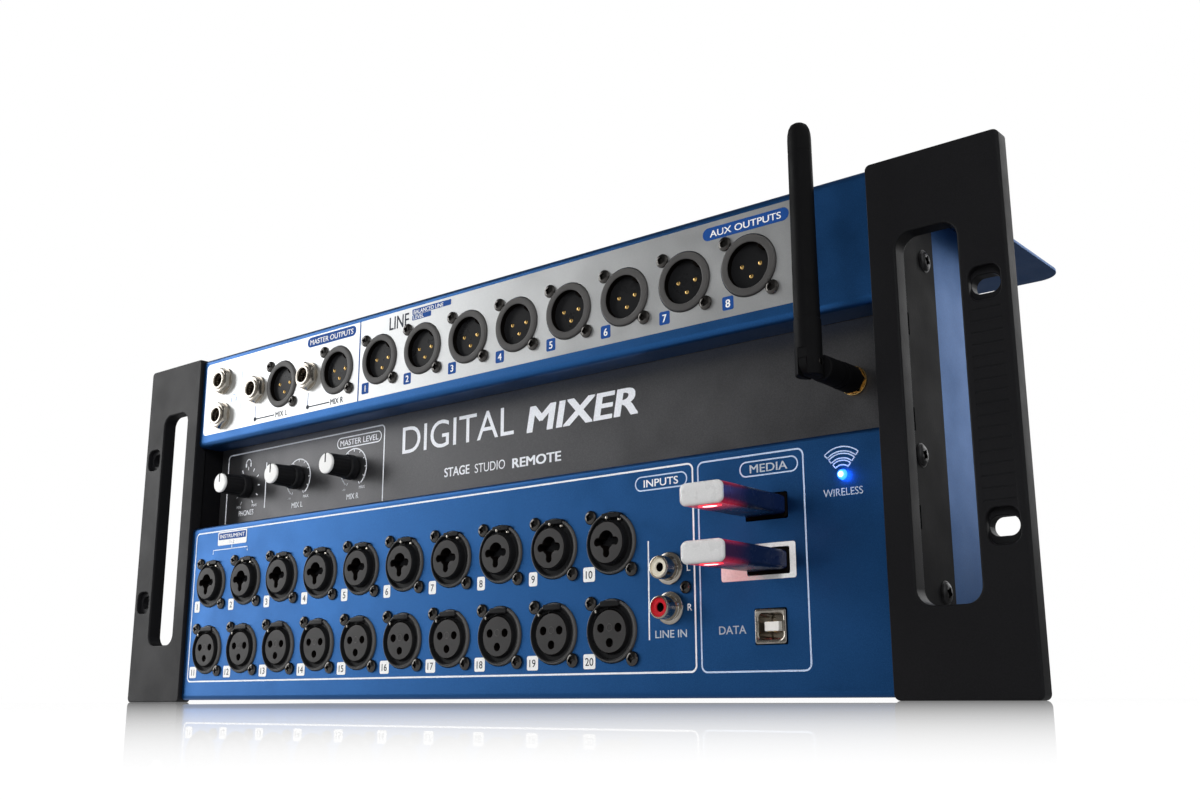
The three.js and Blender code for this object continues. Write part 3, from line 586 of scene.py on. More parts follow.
class Print(MB):
    """Ink on a panel: thin closed films that stand 0.03 mm proud."""
    def __init__(self, y, lift=0.03):
        super().__init__()
        self.y, self.lift = y, lift

    def text(self, key, txt, x, z, h, layer=0, **k):
        v, f = text_mesh(txt, x, z, h, self.y - self.lift * (1 + layer), **k)
        self.add(v, f, key)

    def area(self, key, outline, holes=(), layer=0):
        y = self.y - self.lift * (1 + layer)
        loops = [outline] + list(holes)
        tris = tessellate_polygon([[Vector((p[0], p[1], 0)) for p in l] for l in loops])
        self.add([(p[0], y, p[1]) for l in loops for p in l], [tuple(t) for t in tris], key)

    def rect(self, key, x0, x1, z0, z1, layer=0):
        self.area(key, [(x0, z0), (x1, z0), (x1, z1), (x0, z1)], layer=layer)

    def frame(self, key, fn, w, layer=0):
        """Line of width w along an outline function."""
        a, b = fn(0.0), fn(w)
        n, y = len(a), self.y - self.lift * (1 + layer)
        verts = [(p[0], y, p[1]) for p in a + b]
        self.add(verts, [(i, (i + 1) % n, n + (i + 1) % n, n + i) for i in range(n)], key)

    def path(self, key, pts, w, layer=0):
        y = self.y - self.lift * (1 + layer)
        L, Rr = [], []
        for i, p in enumerate(pts):
            a, b = pts[max(0, i - 1)], pts[min(len(pts) - 1, i + 1)]
            dx, dz = b[0] - a[0], b[1] - a[1]
            q = math.hypot(dx, dz) or 1
            nx, nz = -dz / q * w / 2, dx / q * w / 2
            L.append((p[0] + nx, y, p[1] + nz)); Rr.append((p[0] - nx, y, p[1] - nz))
        n = len(pts)
        self.add(L + Rr, [(i, i + 1, n + i + 1, n + i) for i in range(n - 1)], key)

    def arc(self, key, x, z, r, a0, a1, w, n=40, layer=0):
        self.path(key, [(x + r * math.cos(math.radians(a0 + (a1 - a0) * i / n)), z + r * math.sin(math.radians(a0 + (a1 - a0) * i / n))) for i in range(n + 1)], w, layer)

    def pill(self, key, x0, x1, z, h, line=None, layer=0):
        fn = rrect(x0, x1, z - h / 2, z + h / 2, h / 2 - 0.02, 8)
        if line:
            self.frame(key, fn, line, layer)
        else:
            self.area(key, fn(0.0), layer=layer)

    def headphones(self, key, x, z, s, w):
        self.arc(key, x, z, 1.0 * s, 0, 180, w, 16)
        for d in (-1, 1):
            self.area(key, rrect(x + d * s - 0.28 * s, x + d * s + 0.28 * s, z - 1.0 * s, z + 0.05 * s, 0.2 * s, 3)(0.0))


def ink_up(pr, name, slot):
    """Films face the front."""
    ob = pr.build(name, "case", (), slot, weld=0, flip=False)
    me = ob.data
    bm = bmesh.new()
    bm.from_mesh(me)
    bm.normal_update()
    bmesh.ops.reverse_faces(bm, faces=[f for f in bm.faces if f.normal.y > 0])
    bm.to_mesh(me)
    bm.free()
    return ob


# pale field behind the outputs
pr = Print(FRONT_Y)
field_holes = [c(0.0) for x in OUT_X for c in socket_holes(x, OUT_Z)] + [circle(x, z, 5.5, 28)(0.0) for x, z in JACKS.values()]
pr.area("silver", rrect(-191.4, 168.4, 135.1, 173.2, 2.4, 8)(0.0), field_holes)
pr.area("ink_blue", [(-68.3, 135.1), (-67.5, 135.1), (-67.5, 173.2), (-68.3, 173.2)], layer=1)
pr.rect("ink_pale", -160.0, -159.6, 143.2, 166.8, layer=1)
pr.pill("ink_blue", -107.2, -71.0, 170.0, 5.0, layer=1)
pr.text("ink_tag", "MASTER OUTPUTS", -89.1, 170.0, 2.7, layer=2, width=32.0, bold=0.012)
pr.pill("ink_blue", 126.6, 163.6, 168.6, 5.0, layer=1)
pr.text("ink_tag", "AUX OUTPUTS", 145.1, 168.6, 2.7, layer=2, width=30.5, bold=0.012)
pr.text("ink_dark", "LINE", -41.0, 168.4, 6.4, layer=1, width=13.0, bold=0.012)
for i, w in enumerate(("BALANCED LINE", "LEVEL")):
    pr.text("ink_tag", w, -31.4, 170.7 - 2.5 * i, 1.9, layer=2, align="LEFT", bold=0.012)
pr.area("ink_blue", rrect(-32.3, -7.4, 169.5, 172.1, 0.4, 3)(0.0), layer=1)
pr.area("ink_blue", rrect(-32.3, -20.0, 166.9, 169.3, 0.4, 3)(0.0), layer=1)
for i, x in enumerate(AUX_X):
    cx, cz = -63.0 + PITCH * i, 140.4
    pr.area("ink_blue", rrect(cx - 2.45, cx + 2.45, cz - 2.6, cz + 2.6, 0.7, 4)(0.0), layer=1)
    pr.text("ink_tag", str(i + 1), cx, cz, 3.1, layer=2, bold=0.02)
for x, xt, s in ((-146.7, -125.4, "MIX L"), (-104.9, -83.2, "MIX R")):
    pr.rect("ink_blue", x - 0.22, x + 0.22, 137.8, 144.9, layer=1)
    pr.area("ink_dark", circle(x, 137.8, 1.1, 20)(0.0), layer=3)
    pr.rect("ink_dark", x, xt - 5.4, 137.5, 138.1, layer=2)
    pr.text("ink_dark", s, xt, 137.8, 2.9, layer=1, width=9.2, bold=0.02)
pr.lift = 0.06
pr.headphones("ink_pale", -165.9, 151.8, 1.9, 0.5)
pr.lift = 0.03
ink_up(pr, "front_upper_print", "blue_paint")

# recessed band
pr = Print(RECESS_Y)
pr.frame("ink_white", rrect(-188.3, -64.8, 84.6, 126.4, 2.6, 8), 0.7)
pr.rect("ink_white", -155.3, -154.6, 95.6, 118.9)
pr.pill("ink_white", -99.4, -67.1, 121.1, 5.6, line=0.55)
pr.text("ink_white", "MASTER LEVEL", -83.2, 121.1, 2.9, width=27.6, bold=0.012)
pr.headphones("ink_white", -170.4, 120.3, 2.0, 0.6)
for n, x, lab in ((0, KNOBS["knob_phones"], "PHONES"), (1, KNOBS["knob_mix_l"], "MIX L"), (2, KNOBS["knob_mix_r"], "MIX R")):
    pr.text("ink_white", lab, x, 94.6, 2.8, bold=0.01, width=12.4 if n == 0 else 8.6)
    pr.text("ink_white", "MIN" if n == 0 else "-∞", x - 6.6, 97.9 if n == 0 else 98.3, 1.5)
    pr.text("ink_white", "MAX", x + 6.6, 97.9 if n == 0 else 98.3, 1.5, width=4.2)
    if n:
        pr.arc("ink_white", x, KNOB_Z, 9.3, 234, 306 - 360, 0.62, 60)
    for k in range(11):
        a = math.radians(240 - 30 * k)
        r0, r1 = (8.6, 10.4) if n == 0 else (7.9, 9.3)
        pr.path("ink_white", [(x + r0 * math.cos(a), KNOB_Z + r0 * math.sin(a)), (x + r1 * math.cos(a), KNOB_Z + r1 * math.sin(a))], 0.55)
pr.text("ink_white", "DIGITAL", -17.5, 117.0, 13.2, width=70.0)
pr.text("ink_white", "MIXER", 54.5, 115.6, 11.4, width=58.0, bold=0.03, shear=0.14)
pr.text("ink_white", "STAGE", -16.5, 98.6, 4.2, width=15.5, bold=0.02)
pr.text("ink_white", "STUDIO", 3.6, 98.3, 4.2, width=18.0)
pr.text("ink_white", "REMOTE", 30.5, 97.9, 4.2, width=27.0, bold=0.03)
ink_up(pr, "band_print", "grey_paint")

# lower front
pr = Print(FRONT_Y)
pr.frame("ink_white", rrect(-190.6, 119.9, 9.6, 83.9, 2.6, 8), 0.7)
pr.frame("ink_pale", rrect(121.6, 165.4, 9.4, 83.6, 2.6, 8), 0.6)
pr.pill("ink_pale", 93.4, 117.2, 78.4, 5.6, line=0.5)
pr.text("ink_white", "INPUTS", 105.3, 78.4, 2.9, width=15.6, bold=0.012)
pr.pill("ink_pale", 139.6, 163.2, 78.5, 5.6, line=0.5)
pr.text("ink_soft", "MEDIA", 151.4, 78.5, 3.0, width=15.0, bold=0.012)
for row, (z, n0) in enumerate(((46.6, 1), (14.4, 11))):
    for i in range(10):
        cx = -185.9 + PITCH * i
        w = 2.2 if n0 + i < 10 else 2.9
        pr.area("ink_tag", rrect(cx - w, cx + w, z - 2.75, z + 2.75, 0.8, 4)(0.0), layer=1)
        pr.text("ink_dark", str(n0 + i), cx, z, 3.0, layer=2, bold=0.008)
pr.area("ink_tag", rrect(-171.6, -147.6, 76.2, 83.0, 0.8, 4)(0.0), layer=2)
pr.area("ink_blue", rrect(-170.9, -148.3, 79.0, 82.4, 0.5, 4)(0.0), layer=3)
pr.text("ink_tag", "INSTRUMENT", -159.6, 80.7, 1.9, layer=4, width=20.4, bold=0.01)
pr.text("ink_blue", "1 - 2", -159.6, 77.6, 1.6, layer=3)
pr.path("ink_white", [(-175.2, 72.2), (-175.2, 74.2), (-171.6, 74.2), (-159.6, 74.2), (-146.65, 74.2), (-146.65, 72.2)], 0.4)
pr.rect("ink_white", -159.8, -159.4, 74.2, 76.2)
pr.rect("ink_white", 98.9, 99.5, 21.4, 57.0)
pr.text("ink_white", "L", 117.0, 46.4, 2.6)
pr.text("ink_white", "R", 117.2, 32.4, 2.6)
pr.text("ink_soft", "LINE IN", 108.8, 23.4, 2.8, width=13.8, bold=0.008)
pr.text("ink_soft", "DATA", 134.9, 23.8, 2.9, width=11.0, bold=0.008)
pr.area("ink_tag", rrect(130.9, 160.9, 40.1, 52.3, 0.9, 4)(0.0), [rrect(MEDIA_X - 8.5, MEDIA_X + 8.5, 46.2 - 4.6, 46.2 + 4.6, 0.6, 3)(0.0)], layer=1)
for k, r in enumerate((3.6, 5.9, 8.2)):
    pr.arc("ink_pale", LED_X, LED_Z - 0.4, r + 0.0, 50, 130, 0.42, 24)
    pr.arc("ink_pale", LED_X, LED_Z - 0.4, r + 1.5, 50, 130, 0.42, 24)
    for a in (50, 130):
        c, s = math.cos(math.radians(a)), math.sin(math.radians(a))
        pr.path("ink_pale", [(LED_X + r * c, LED_Z - 0.4 + r * s), (LED_X + (r + 1.5) * c, LED_Z - 0.4 + (r + 1.5) * s)], 0.42)
pr.text("ink_soft", "WIRELESS", LED_X, 66.9, 2.6, width=14.5)
ink_up(pr, "front_lower_print", "blue_paint")


# ---------------------------------------------------------------- round sockets (built round 0, 0 and moved)
def socket_common(mb):
    """Mounting flange behind the sheet, body and its two screws."""
    mb.plate(rrect(-11.2, 11.2, -14.6, 14.6, 1.2, 3), [], yB + 0.3, yB + 2.1, "ring_black", b=0.2)
    mb.box(-9, 9, 14.2, 26.7, -10, 10, "ring_black", 0.4)
    for d in (1, -1):
        screw(mb, -d * 9.7, d * 10.3, FRONT_Y - 0.05, turn=0.4 + d)
        mb.lathe(-d * 9.7, d * 10.3, [(1.3, FRONT_Y - 0.2), (1.3, yB + 1.4)], "darkchrome", n=12)


def male_socket():
    mb = MB()
    mb.lathe(0, 0, [(11.6, 14.2), (11.6, 1.85), (11.45, 1.45), (11.15, 1.2), (10.7, 1.12), (9.2, 1.16), (8.85, 1.22), (8.66, 1.45)], "ring_grey", n=72)
    tooth = lambda k, i: 0.86 if (2 <= k <= 3 and 8 <= i <= 11) else 1.0
    # the cup walls and floor take the near-black: painted shade deep in the socket
    mb.lathe(0, 0, [(8.66, 1.45), (8.62, 1.9), (8.6, 2.0), (8.6, 8.0), (8.6, 8.05), (8.55, 13.6), (8.2, 14.0), (0.0, 14.05)], "black_painted_shade", n=72, radial=tooth)
    # thin guide wall curving round the right-hand pin
    mb.plate(lambda d: arc(4.6, -0.4, 3.1 - d, 95, 235, 20) + arc(4.6, -0.4, 2.65 + d, 235, 95, 20), [], 5.2, 14.0, "guide", b=0.1)
    for x, z in ((-3.9, 0.6), (3.9, 0.6), (0.0, -3.7)):
        mb.lathe(x, z, [(1.2, 14.0), (1.2, 4.7), (1.12, 4.1), (0.9, 3.7), (0.5, 3.45), (0.0, 3.38)], "gold", n=20)
    socket_common(mb)
    return mb


def combo_socket():
    mb = MB()
    mb.lathe(0, 0, [(11.6, 14.2), (11.6, 1.7), (11.45, 1.25), (11.1, 1.0), (10.95, 0.97)], "lip_grey", n=64)
    mb.lathe(0, 0, [(10.95, 0.97), (10.7, 0.95), (10.45, 1.1)], "ring_black", n=64)
    mb.lathe(0, 0, [(10.45, 1.1), (10.35, 1.9), (10.1, 2.3), (8.6, 2.3), (8.35, 2.1), (8.3, 1.4), (8.28, 0.2), (8.2, -0.7), (8.02, -1.0)], "ring_black", n=64)
    # face with jack opening and three pin openings joined to it
    n = 72
    def clover(d):
        pts = []
        for i in range(n):
            a = 2 * math.pi * i / n
            best = 0.0
            for cx, cz, r in ((0.0, 1.0, 3.25), (-4.2, 0.3, 1.35), (4.2, 0.3, 1.35), (0.0, -4.1, 1.25), (0.0, -2.2, 1.3)):
                # distance from the middle to the far side of each round opening along this direction
                ux, uz = math.cos(a), math.sin(a)
                bq = ux * cx + uz * cz
                cq = cx * cx + cz * cz - (r + d) ** 2
                disc = bq * bq - cq
                if disc >= 0:
                    best = max(best, bq + math.sqrt(disc))
            pts.append((best * math.cos(a), best * math.sin(a)))
        return pts
    face = circle(0, 0, 8.02, 64)
    # the openings' walls and the disc closing them behind take the near-black: painted shade deep in the socket
    mb.plate(lambda d: face(-d), [clover], -1.0, 16.0, "face_grey", b=0.35, hb=0.3, side="black_painted_shade", back=False)
    mb.lathe(0, 0, [(6.0, 15.5), (0.0, 15.5)], "black_painted_shade", n=24)
    # release lever and latch at the top of the ring
    mb.plate(rrect(-3.4, 5.2, 9.3, 11.2, 0.6, 4), [], 0.35, 3.0, "ring_black", b=0.3)
    mb.lathe(-0.6, 9.4, [(0.75, 2.0), (0.75, 0.1), (0.5, -0.15), (0.0, -0.2)], "latch", n=16)
    mb.box(4.2, 5.6, 0.6, 2.4, 8.0, 8.9, "latch", 0.2)
    socket_common(mb)
    return mb


def female_socket():
    mb = MB()
    mb.lathe(0, 0, [(11.6, 14.2), (11.6, 1.7), (11.45, 1.25), (11.1, 1.0), (10.95, 0.97)], "lip_grey", n=64)
    mb.lathe(0, 0, [(10.95, 0.97), (10.7, 0.95), (10.45, 1.1)], "ring_black", n=64)
    mb.lathe(0, 0, [(10.45, 1.1), (10.35, 1.9), (10.1, 2.6), (8.75, 2.6), (8.45, 2.4), (8.3, 1.6), (8.2, 0.9), (8.02, 0.62)], "ring_black", n=64)
    face = circle(0, -0.2, 8.02, 64)
    pins = [circle(-4.1, 1.1, 1.5, 20), circle(4.1, 1.1, 1.5, 20), circle(0.0, -4.3, 1.5, 20)]
    # the pin openings' walls and the disc closing them behind take the near-black: painted shade deep in the socket
    mb.plate(lambda d: face(-d), pins, 0.62, 12.0, "face_grey", b=0.3, hb=0.2, side="black_painted_shade", back=False)
    mb.lathe(0, 0, [(7.0, 11.6), (0.0, 11.6)], "black_painted_shade", n=24)
    mb.lathe(0, 1.2, [(1.45, 0.6), (1.4, 0.5), (1.2, 0.5), (1.15, 0.6), (1.1, 0.66)], "ring_grey", n=28)
    mb.plate(rrect(-4.6, 4.6, 8.9, 11.0, 0.7, 4), [], 0.45, 3.0, "ring_black", b=0.35)
    mb.box(-6.9, -6.1, 0.5, 2.4, 6.6, 7.8, "latch", 0.2)
    socket_common(mb)
    return mb


male, combo, female = male_socket(), combo_socket(), female_socket()
for i, x in enumerate(OUT_X):
    n = ("xlr_master_l", "xlr_master_r")[i] if i < 2 else f"xlr_aux_{i - 1}"
    male.moved(x, 0, OUT_Z).build("socket_" + n, "case", [n], "connector_black")
for i, x in enumerate(IN_X):
    combo.moved(x, 0, COMBO_Z).build(f"socket_combo_{i + 1:02d}", "case", [f"combo_input_{i + 1:02d}"], "connector_black")
    female.moved(x, 0, XLRIN_Z).build(f"socket_input_{i + 11}", "case", [f"xlr_input_{i + 11}"], "connector_black")

# ---------------------------------------------------------------- jack sockets
mb0 = MB()
n = 48
hexa = lambda k, i: 1.0 / max(math.cos(((2 * math.pi * i / n + math.pi / 6) % (math.pi / 3)) - math.pi / 6), 0.5)
mb0.lathe(0, 0, [(7.05, FRONT_Y - 0.02), (7.1, 1.5), (7.0, 1.2), (6.7, 1.12), (5.0, 1.1)], "nickel", n=48)                      # washer
def nutr(k, i):
    h = hexa(k, i)
    return h if k in (1, 2, 3) else min(h, 1.045) if k == 4 else 1.0
mb0.lathe(0, 0, [(5.0, 1.1), (6.02, 1.1), (6.02, 0.9), (6.02, -0.85), (6.05, -1.25), (5.7, -1.55), (5.0, -1.6)], "nickel", n=n, radial=nutr)
mb0.lathe(0, 0, [(5.0, -1.6), (4.75, -1.6), (4.75, -2.05), (4.6, -2.32), (4.2, -2.4), (3.65, -2.3), (3.38, -1.9), (3.3, 2.0)], "nickel", n=48)
mb0.lathe(0, 0, [(3.3, 2.0), (3.3, 24.5), (0, 24.6)], "brown", n=32)
mb0.box(-7.5, 7.5, yB + 0.3, 26.7, -8, 8, "ring_black", 0.5)
for name, (x, z) in JACKS.items():
    mb0.moved(x, 0, z).build("socket_" + name, "case", [name], "nickel", sharp=40)

# ---------------------------------------------------------------- phono pair
mb = MB()
for z, key in zip(RCA_Z, ("cream", "red")):
    mb.lathe(RCA_X, z, [(5.9, FRONT_Y - 0.02), (5.9, 1.0), (5.6, 0.7), (4.5, 0.6), (4.3, 0.3)], "nickel", n=44)
    mb.lathe(RCA_X, z, [(4.3, 0.3), (4.2, 0.1), (4.2, -4.9), (4.05, -5.4), (3.8, -5.6), (3.5, -5.6), (3.42, -5.3)], "nickel", n=44)
    mb.lathe(RCA_X, z, [(3.42, -5.3), (3.35, -4.7), (3.1, -4.75), (1.9, -4.9), (1.7, -4.7), (1.6, -4.3)], key, n=36)
    # the bore and its floor take the near-black: painted shade inside the opening
    mb.lathe(RCA_X, z, [(1.6, -4.3), (1.55, 3.0), (0, 3.0)], "black_painted_shade", n=20)
screw(mb, RCA_X + 6.7, sum(RCA_Z) / 2, FRONT_Y - 0.05, r=2.3, turn=0.9)
mb.box(RCA_X - 7, RCA_X + 9.2, yB + 0.3, 26.7, RCA_Z[1] - 8, RCA_Z[0] + 8, "ring_black", 0.5)
mb.build("phono_pair", "case", ["line_in_sockets"], "nickel")

# ---------------------------------------------------------------- square data port
mb = MB()
x0, x1, z0, z1 = PB_X - PB_W / 2, PB_X + PB_W / 2, PB_Z - PB_H / 2, PB_Z + PB_H / 2
mb.plate(rrect(x0, x1, z0, z1, 0.9, 5), [rrect(PB_X - 4.7, PB_X + 4.7, PB_Z - 4.3, PB_Z + 4.3, 1.4, 5, hole=True)], 1.4, 10.5, "nickel", b=0.3, hb=0.7)
mb.box(x0 + 0.2, x1 - 0.2, 10.5, 19, z0 + 0.2, z1 - 0.2, "nickel", 0.3)
mb.box(PB_X - 2.8, PB_X + 2.8, 2.2, 10.6, PB_Z - 1.6, PB_Z + 1.6, "tongue", 0.25)
for s in (-1, 1):
    mb.box(PB_X - 1.7, PB_X - 0.7, 2.6, 9.0, PB_Z + s * 1.68 - 0.1, PB_Z + s * 1.68 + 0.1, "gold", 0.03)
    mb.box(PB_X + 0.7, PB_X + 1.7, 2.6, 9.0, PB_Z + s * 1.68 - 0.1, PB_Z + s * 1.68 + 0.1, "gold", 0.03)
    mb.box(PB_X + s * 5.0 - 0.5, PB_X + s * 5.0 + 0.5, 1.2, 1.6, PB_Z - 1.8, PB_Z + 1.8, "nickel", 0.12)
mb.build("square_port", "case", ["data_port_b"], "nickel")

# ---------------------------------------------------------------- memory sticks and their ports
for w, z in MEDIA_Z.items():
    mb = MB()
    # the port's housing and its inside take the near-black: black plastic, with painted shade inside the opening
    mb.plate(rrect(MEDIA_X - 8.2, MEDIA_X + 8.2, z - 4.3, z + 4.3, 0.9, 5), [rrect(MEDIA_X - 6.3, MEDIA_X + 6.3, z - 2.55, z + 2.55, 0.3, 3, hole=True)], 1.6, 16.0, "black_painted_shade", b=0.35, hb=0.3)
    mb.box(MEDIA_X - 8.0, MEDIA_X + 8.0, 15.8, 20, z - 4.1, z + 4.1, "black_painted_shade", 0.3)
    mb.build(f"stick_port_{w}", "case", [f"media_port_{w}"], "connector_black")
    mb = MB()
    sec = lambda sx, sz, r: rrect(MEDIA_X - sx, MEDIA_X + sx, z - sz, z + sz, r, 6)(0.0)
    # body lofted along Y: slim at the port, fuller towards the pale end face
    def loft(rings, key):
        verts, faces = [], []
        for y, a, b, r in rings:
            # all four sides are slightly crowned
            verts += [(MEDIA_X + (q0 - MEDIA_X) * (1 - 0.035 * ((q1 - z) / b) ** 2), y, z + (q1 - z) * (1 - 0.1 * ((q0 - MEDIA_X) / a) ** 2)) for q0, q1 in sec(a, b, r)]
        m = len(sec(1, 1, 0.5))
        for k in range(len(rings) - 1):
            faces += [(k * m + i, k * m + (i + 1) % m, (k + 1) * m + (i + 1) % m, (k + 1) * m + i) for i in range(m)]
        faces += [tuple(range(m)), tuple(range((len(rings) - 1) * m, len(rings) * m))]
        mb.add(verts, faces, key)
    loft([(1.2, 7.9, 3.3, 1.0), (0.8, 8.1, 3.5, 1.2), (-5, 8.15, 3.6, 1.3), (-8, 8.1, 3.65, 1.3), (-16, 8.1, 3.75, 1.4), (-26, 8.15, 3.85, 1.5), (-36.0, 8.2, 3.9, 1.6)], f"stick_blue_{w}")
    loft([(-36.0, 8.0, 3.75, 1.6), (-36.25, 8.0, 3.75, 1.6), (-36.3, 8.3, 3.95, 1.8), (-36.9, 8.35, 4.0, 1.9), (-37.35, 8.2, 3.85, 1.9), (-37.7, 7.8, 3.5, 1.7), (-37.93, 7.0, 2.8, 1.4), (-38.0, 6.0, 1.8, 0.9)], "stick_cap")
    mb.plate(rrect(MEDIA_X - 6.0, MEDIA_X + 6.0, z - 2.25, z + 2.25, 0.25, 3), [], 1.0, 13.5, "nickel", b=0.1)
    for s in (-1, 1):
        # an oval window in each broad side, brightest in its middle
        for key, rings in (("stick_window_rim", [(1.0, 3.5), (1.0, 3.84), (0.9, 3.9), (0.5, 3.93)]), ("stick_window", [(0.62, 3.6), (0.62, 3.94), (0.5, 3.98)])):
            vs = [(MEDIA_X + 0.6 + 4.4 * k * math.cos(math.radians(11.25 * i)), -33.0 + 2.3 * k * math.sin(math.radians(11.25 * i)), z + s * h) for k, h in rings for i in range(32)]
            fs = [(j * 32 + i, j * 32 + (i + 1) % 32, (j + 1) * 32 + (i + 1) % 32, (j + 1) * 32 + i) for j in range(len(rings) - 1) for i in range(32)]
            mb.add(vs, fs + [tuple(range(32)), tuple(range((len(rings) - 1) * 32, len(rings) * 32))], key)
    mb.build(f"memory_stick_{w}", f"flash_drive_{w}", [f"flash_drive_{w}"], "stick")

# ---------------------------------------------------------------- lamp
mb = MB()
mb.lathe(LED_X, LED_Z, [(2.4, 6.5), (2.4, 3.8), (1.6, 3.8), (1.6, 1.7), (1.5, 1.35), (1.2, 1.12), (0.95, 1.0)], "led", n=28)
mb.lathe(LED_X, LED_Z, [(0.95, 1.0), (0.6, 0.9), (0, 0.86)], "led_core", n=28)
mb.build("wireless_lamp", "case", ["status_led"], "lamp")

# ---------------------------------------------------------------- knobs
for name, x in KNOBS.items():
    mb = MB()
    n = 72
    flute = lambda k, i: 1.0 - (0.035 * max(0.0, math.cos(2 * math.pi * i / n * 18)) if 1 <= k <= 3 else 0.0)
    mb.lathe(x, KNOB_Z, [(4.75, 0.9), (5.0, 1.5), (5.25, 9.0), (5.35, 10.2), (5.1, 10.7), (5.1, 11.1), (5.7, 11.5), (5.95, 12.2), (6.0, 15.0), (5.8, 15.5), (3.0, 15.6), (3.0, 25.0), (0, 25.0)], "knob", n=n, radial=flute)
    mb.lathe(x, KNOB_Z, [(4.75, 0.9), (4.85, 0.5), (4.85, -0.1), (4.6, -0.38), (4.2, -0.5), (0, -0.5)], "cap", n=n)
    mb.box(x - 0.42, x + 0.42, -0.56, 0.4, KNOB_Z + 0.4, KNOB_Z + 4.9, "ring_black", 0.05, 1)
    mb.build(name + "_detail", name, [name], "knob_black")

# ---------------------------------------------------------------- rack ears
for side, node in ((-1, "ear_left"), (1, "ear_right")):
    mb = MB()
    X = lambda v: side * v
    lohi = lambda a, b: (min(X(a), X(b)), max(X(a), X(b)))
    a, b = lohi(194.5, 241.3)
    def outer(d, a=a, b=b, side=side):
        # the inner edge is nearly square, the outer edge fully rounded
        di, do, dz = d * 0.4, d, d * 0.55
        x0, x1 = (a + do, b - di) if side < 0 else (a + di, b - do)
        return rrect(x0, x1, dz, 177.0 - dz, 1.9, 8)(0.0)
    sa, sb = lohi(204.0, 225.3)
    slot = rrect(sa, sb, 28.4, 149.9, 5.5, 10, hole=True)
    rec, thru = [], []
    for z in (51.1, 127.3):
        p, q = lohi(228.0, 238.4)
        rec.append(rrect(p, q, z - 5.8, z + 5.4, 3.4, 7, hole=True))
        p, q = lohi(232.75 - 4.7, 232.75 + 4.7)
        thru.append(rrect(p, q, z - 3.1, z + 3.1, 3.05, 7, hole=True))
    # front layer with rounded outer and slot edges; grip grooves between the rack holes
    groove = []
    for k in range(17 if side > 0 else 0):
        z = 58.6 + 60.0 * k / 16
        p, q = lohi(227.8, 238.2)
        groove.append(rrect(p, q, z - 0.26, z + 0.26, 0.24, 3, hole=True))
    D = 2.4
    def front_layer(y0, y1, bv, hbv, holes, close):
        lv = [(bv * (1 - math.sin(t)), bv * (1 - math.cos(t))) for t in [math.pi / 2 * k / 6 for k in range(7)]]
        hv = [(hbv * (1 - math.sin(t)), hbv * (1 - math.cos(t))) for t in [math.pi / 2 * k / 4 for k in range(5)]]
        loops = [outer(lv[0][0]), slot(hv[0][0])] + [r(0.5) for r in rec] + [g(0.12) for g in groove]
        tris = tessellate_polygon([[Vector((p[0], p[1], 0)) for p in l] for l in loops])
        mb.add([(p[0], y0, p[1]) for l in loops for p in l], [tuple(t) for t in tris], "ear")
        def walls(fn, ring):
            verts, m = [], 0
            for d, y in ring:
                l = fn(d); m = len(l)
                verts += [(p[0], y, p[1]) for p in l]
            mb.add(verts, [(k * m + i, k * m + (i + 1) % m, (k + 1) * m + (i + 1) % m, (k + 1) * m + i) for k in range(len(ring) - 1) for i in range(m)], "ear")
            return verts[-m:]
        walls(outer, [(d, y0 + e) for d, e in lv] + [(0.0, y1 - 0.6), (0.18, y1 - 0.18), (0.6, y1)])
        walls(slot, [(d, y0 + e) for d, e in hv] + [(0.0, y1 - 0.6), (0.18, y1 - 0.18), (0.6, y1)])
        for r, h in zip(rec, thru):
            walls(r, [(0.5, y0), (0.15, y0 + 0.15), (0.0, y0 + 0.5), (0.0, D)])
            lr, lh = r(0.0), h(0.45)
            tris2 = tessellate_polygon([[Vector((p[0], p[1], 0)) for p in l] for l in (lr, lh)])
            mb.add([(p[0], D, p[1]) for l in (lr, lh) for p in l], [tuple(t) for t in tris2], "ear")
            walls(h, [(0.45, D), (0.22, D + 0.08), (0.06, D + 0.25), (0.0, D + 0.5), (0.0, y1)])
        for g in groove:
            end = walls(g, [(0.12, y0), (0.04, y0 + 0.05), (0.0, y0 + 0.16)])
            mb.add(end, [tuple(range(len(end)))], "ear")
        loops = [outer(0.6), slot(0.6)] + [h(0.0) for h in thru]
        tris = tessellate_polygon([[Vector((p[0], p[1], 0)) for p in l] for l in loops])
        mb.add([(p[0], y1, p[1]) for l in loops for p in l], [tuple(t) for t in tris], "ear")
    front_layer(0.0, 7.0, 1.1, 0.8, None, True)
    # side flange in the YZ plane, built as a plate and turned
    fl = MB()
    def flange(d):
        c = 3.0
        pts = [(6.0 + 0.0, 4 + d), (47 - c, 4 + d), (47 - d, 4 + c), (47 - d, 169 - c), (47 - c, 169 - d), (6.0, 169 - d)]
        return pts
    fholes = [rrect(20.5, 23.5, z - 4, z + 4, 0.6, 3, hole=True) for z in (125.9, 92.4, 59.2)]
    # the flange takes the darker copy of the ear's coat: painted shade
    fl.plate(flange, fholes, 0.0, 2.0, "ear_flange_shaded", b=0.25)
    turned = MB()
    turned.v = [(X(194.5 + (2.0 - v)), u, w) for (u, v, w) in fl.v]  # outer face is the plate's front
    turned.f, turned.m, turned.mats = fl.f, fl.m, fl.mats
    mb.merge(turned)
    for y, z in ((39.1, 152.8), (27.0, 80.5), (39.1, 35.1)):
        sc = MB()
        screw(sc, y, z, 0.0, r=3.7, h=1.3, turn=y, key="screw_black")
        sc.lathe(y, z, [(4.2, 0.0), (4.15, -0.2), (3.8, -0.25), (3.6, 0.0)], "screw_black", n=28)
        tt = MB()
        tt.v = [(X(196.5 - v), u, w) for (u, v, w) in sc.v]
        tt.f, tt.m, tt.mats = sc.f, sc.m, sc.mats
        mb.merge(tt)
    mb.build(node.replace("ear", "rack_ear"), "case", [node], "black_paint")

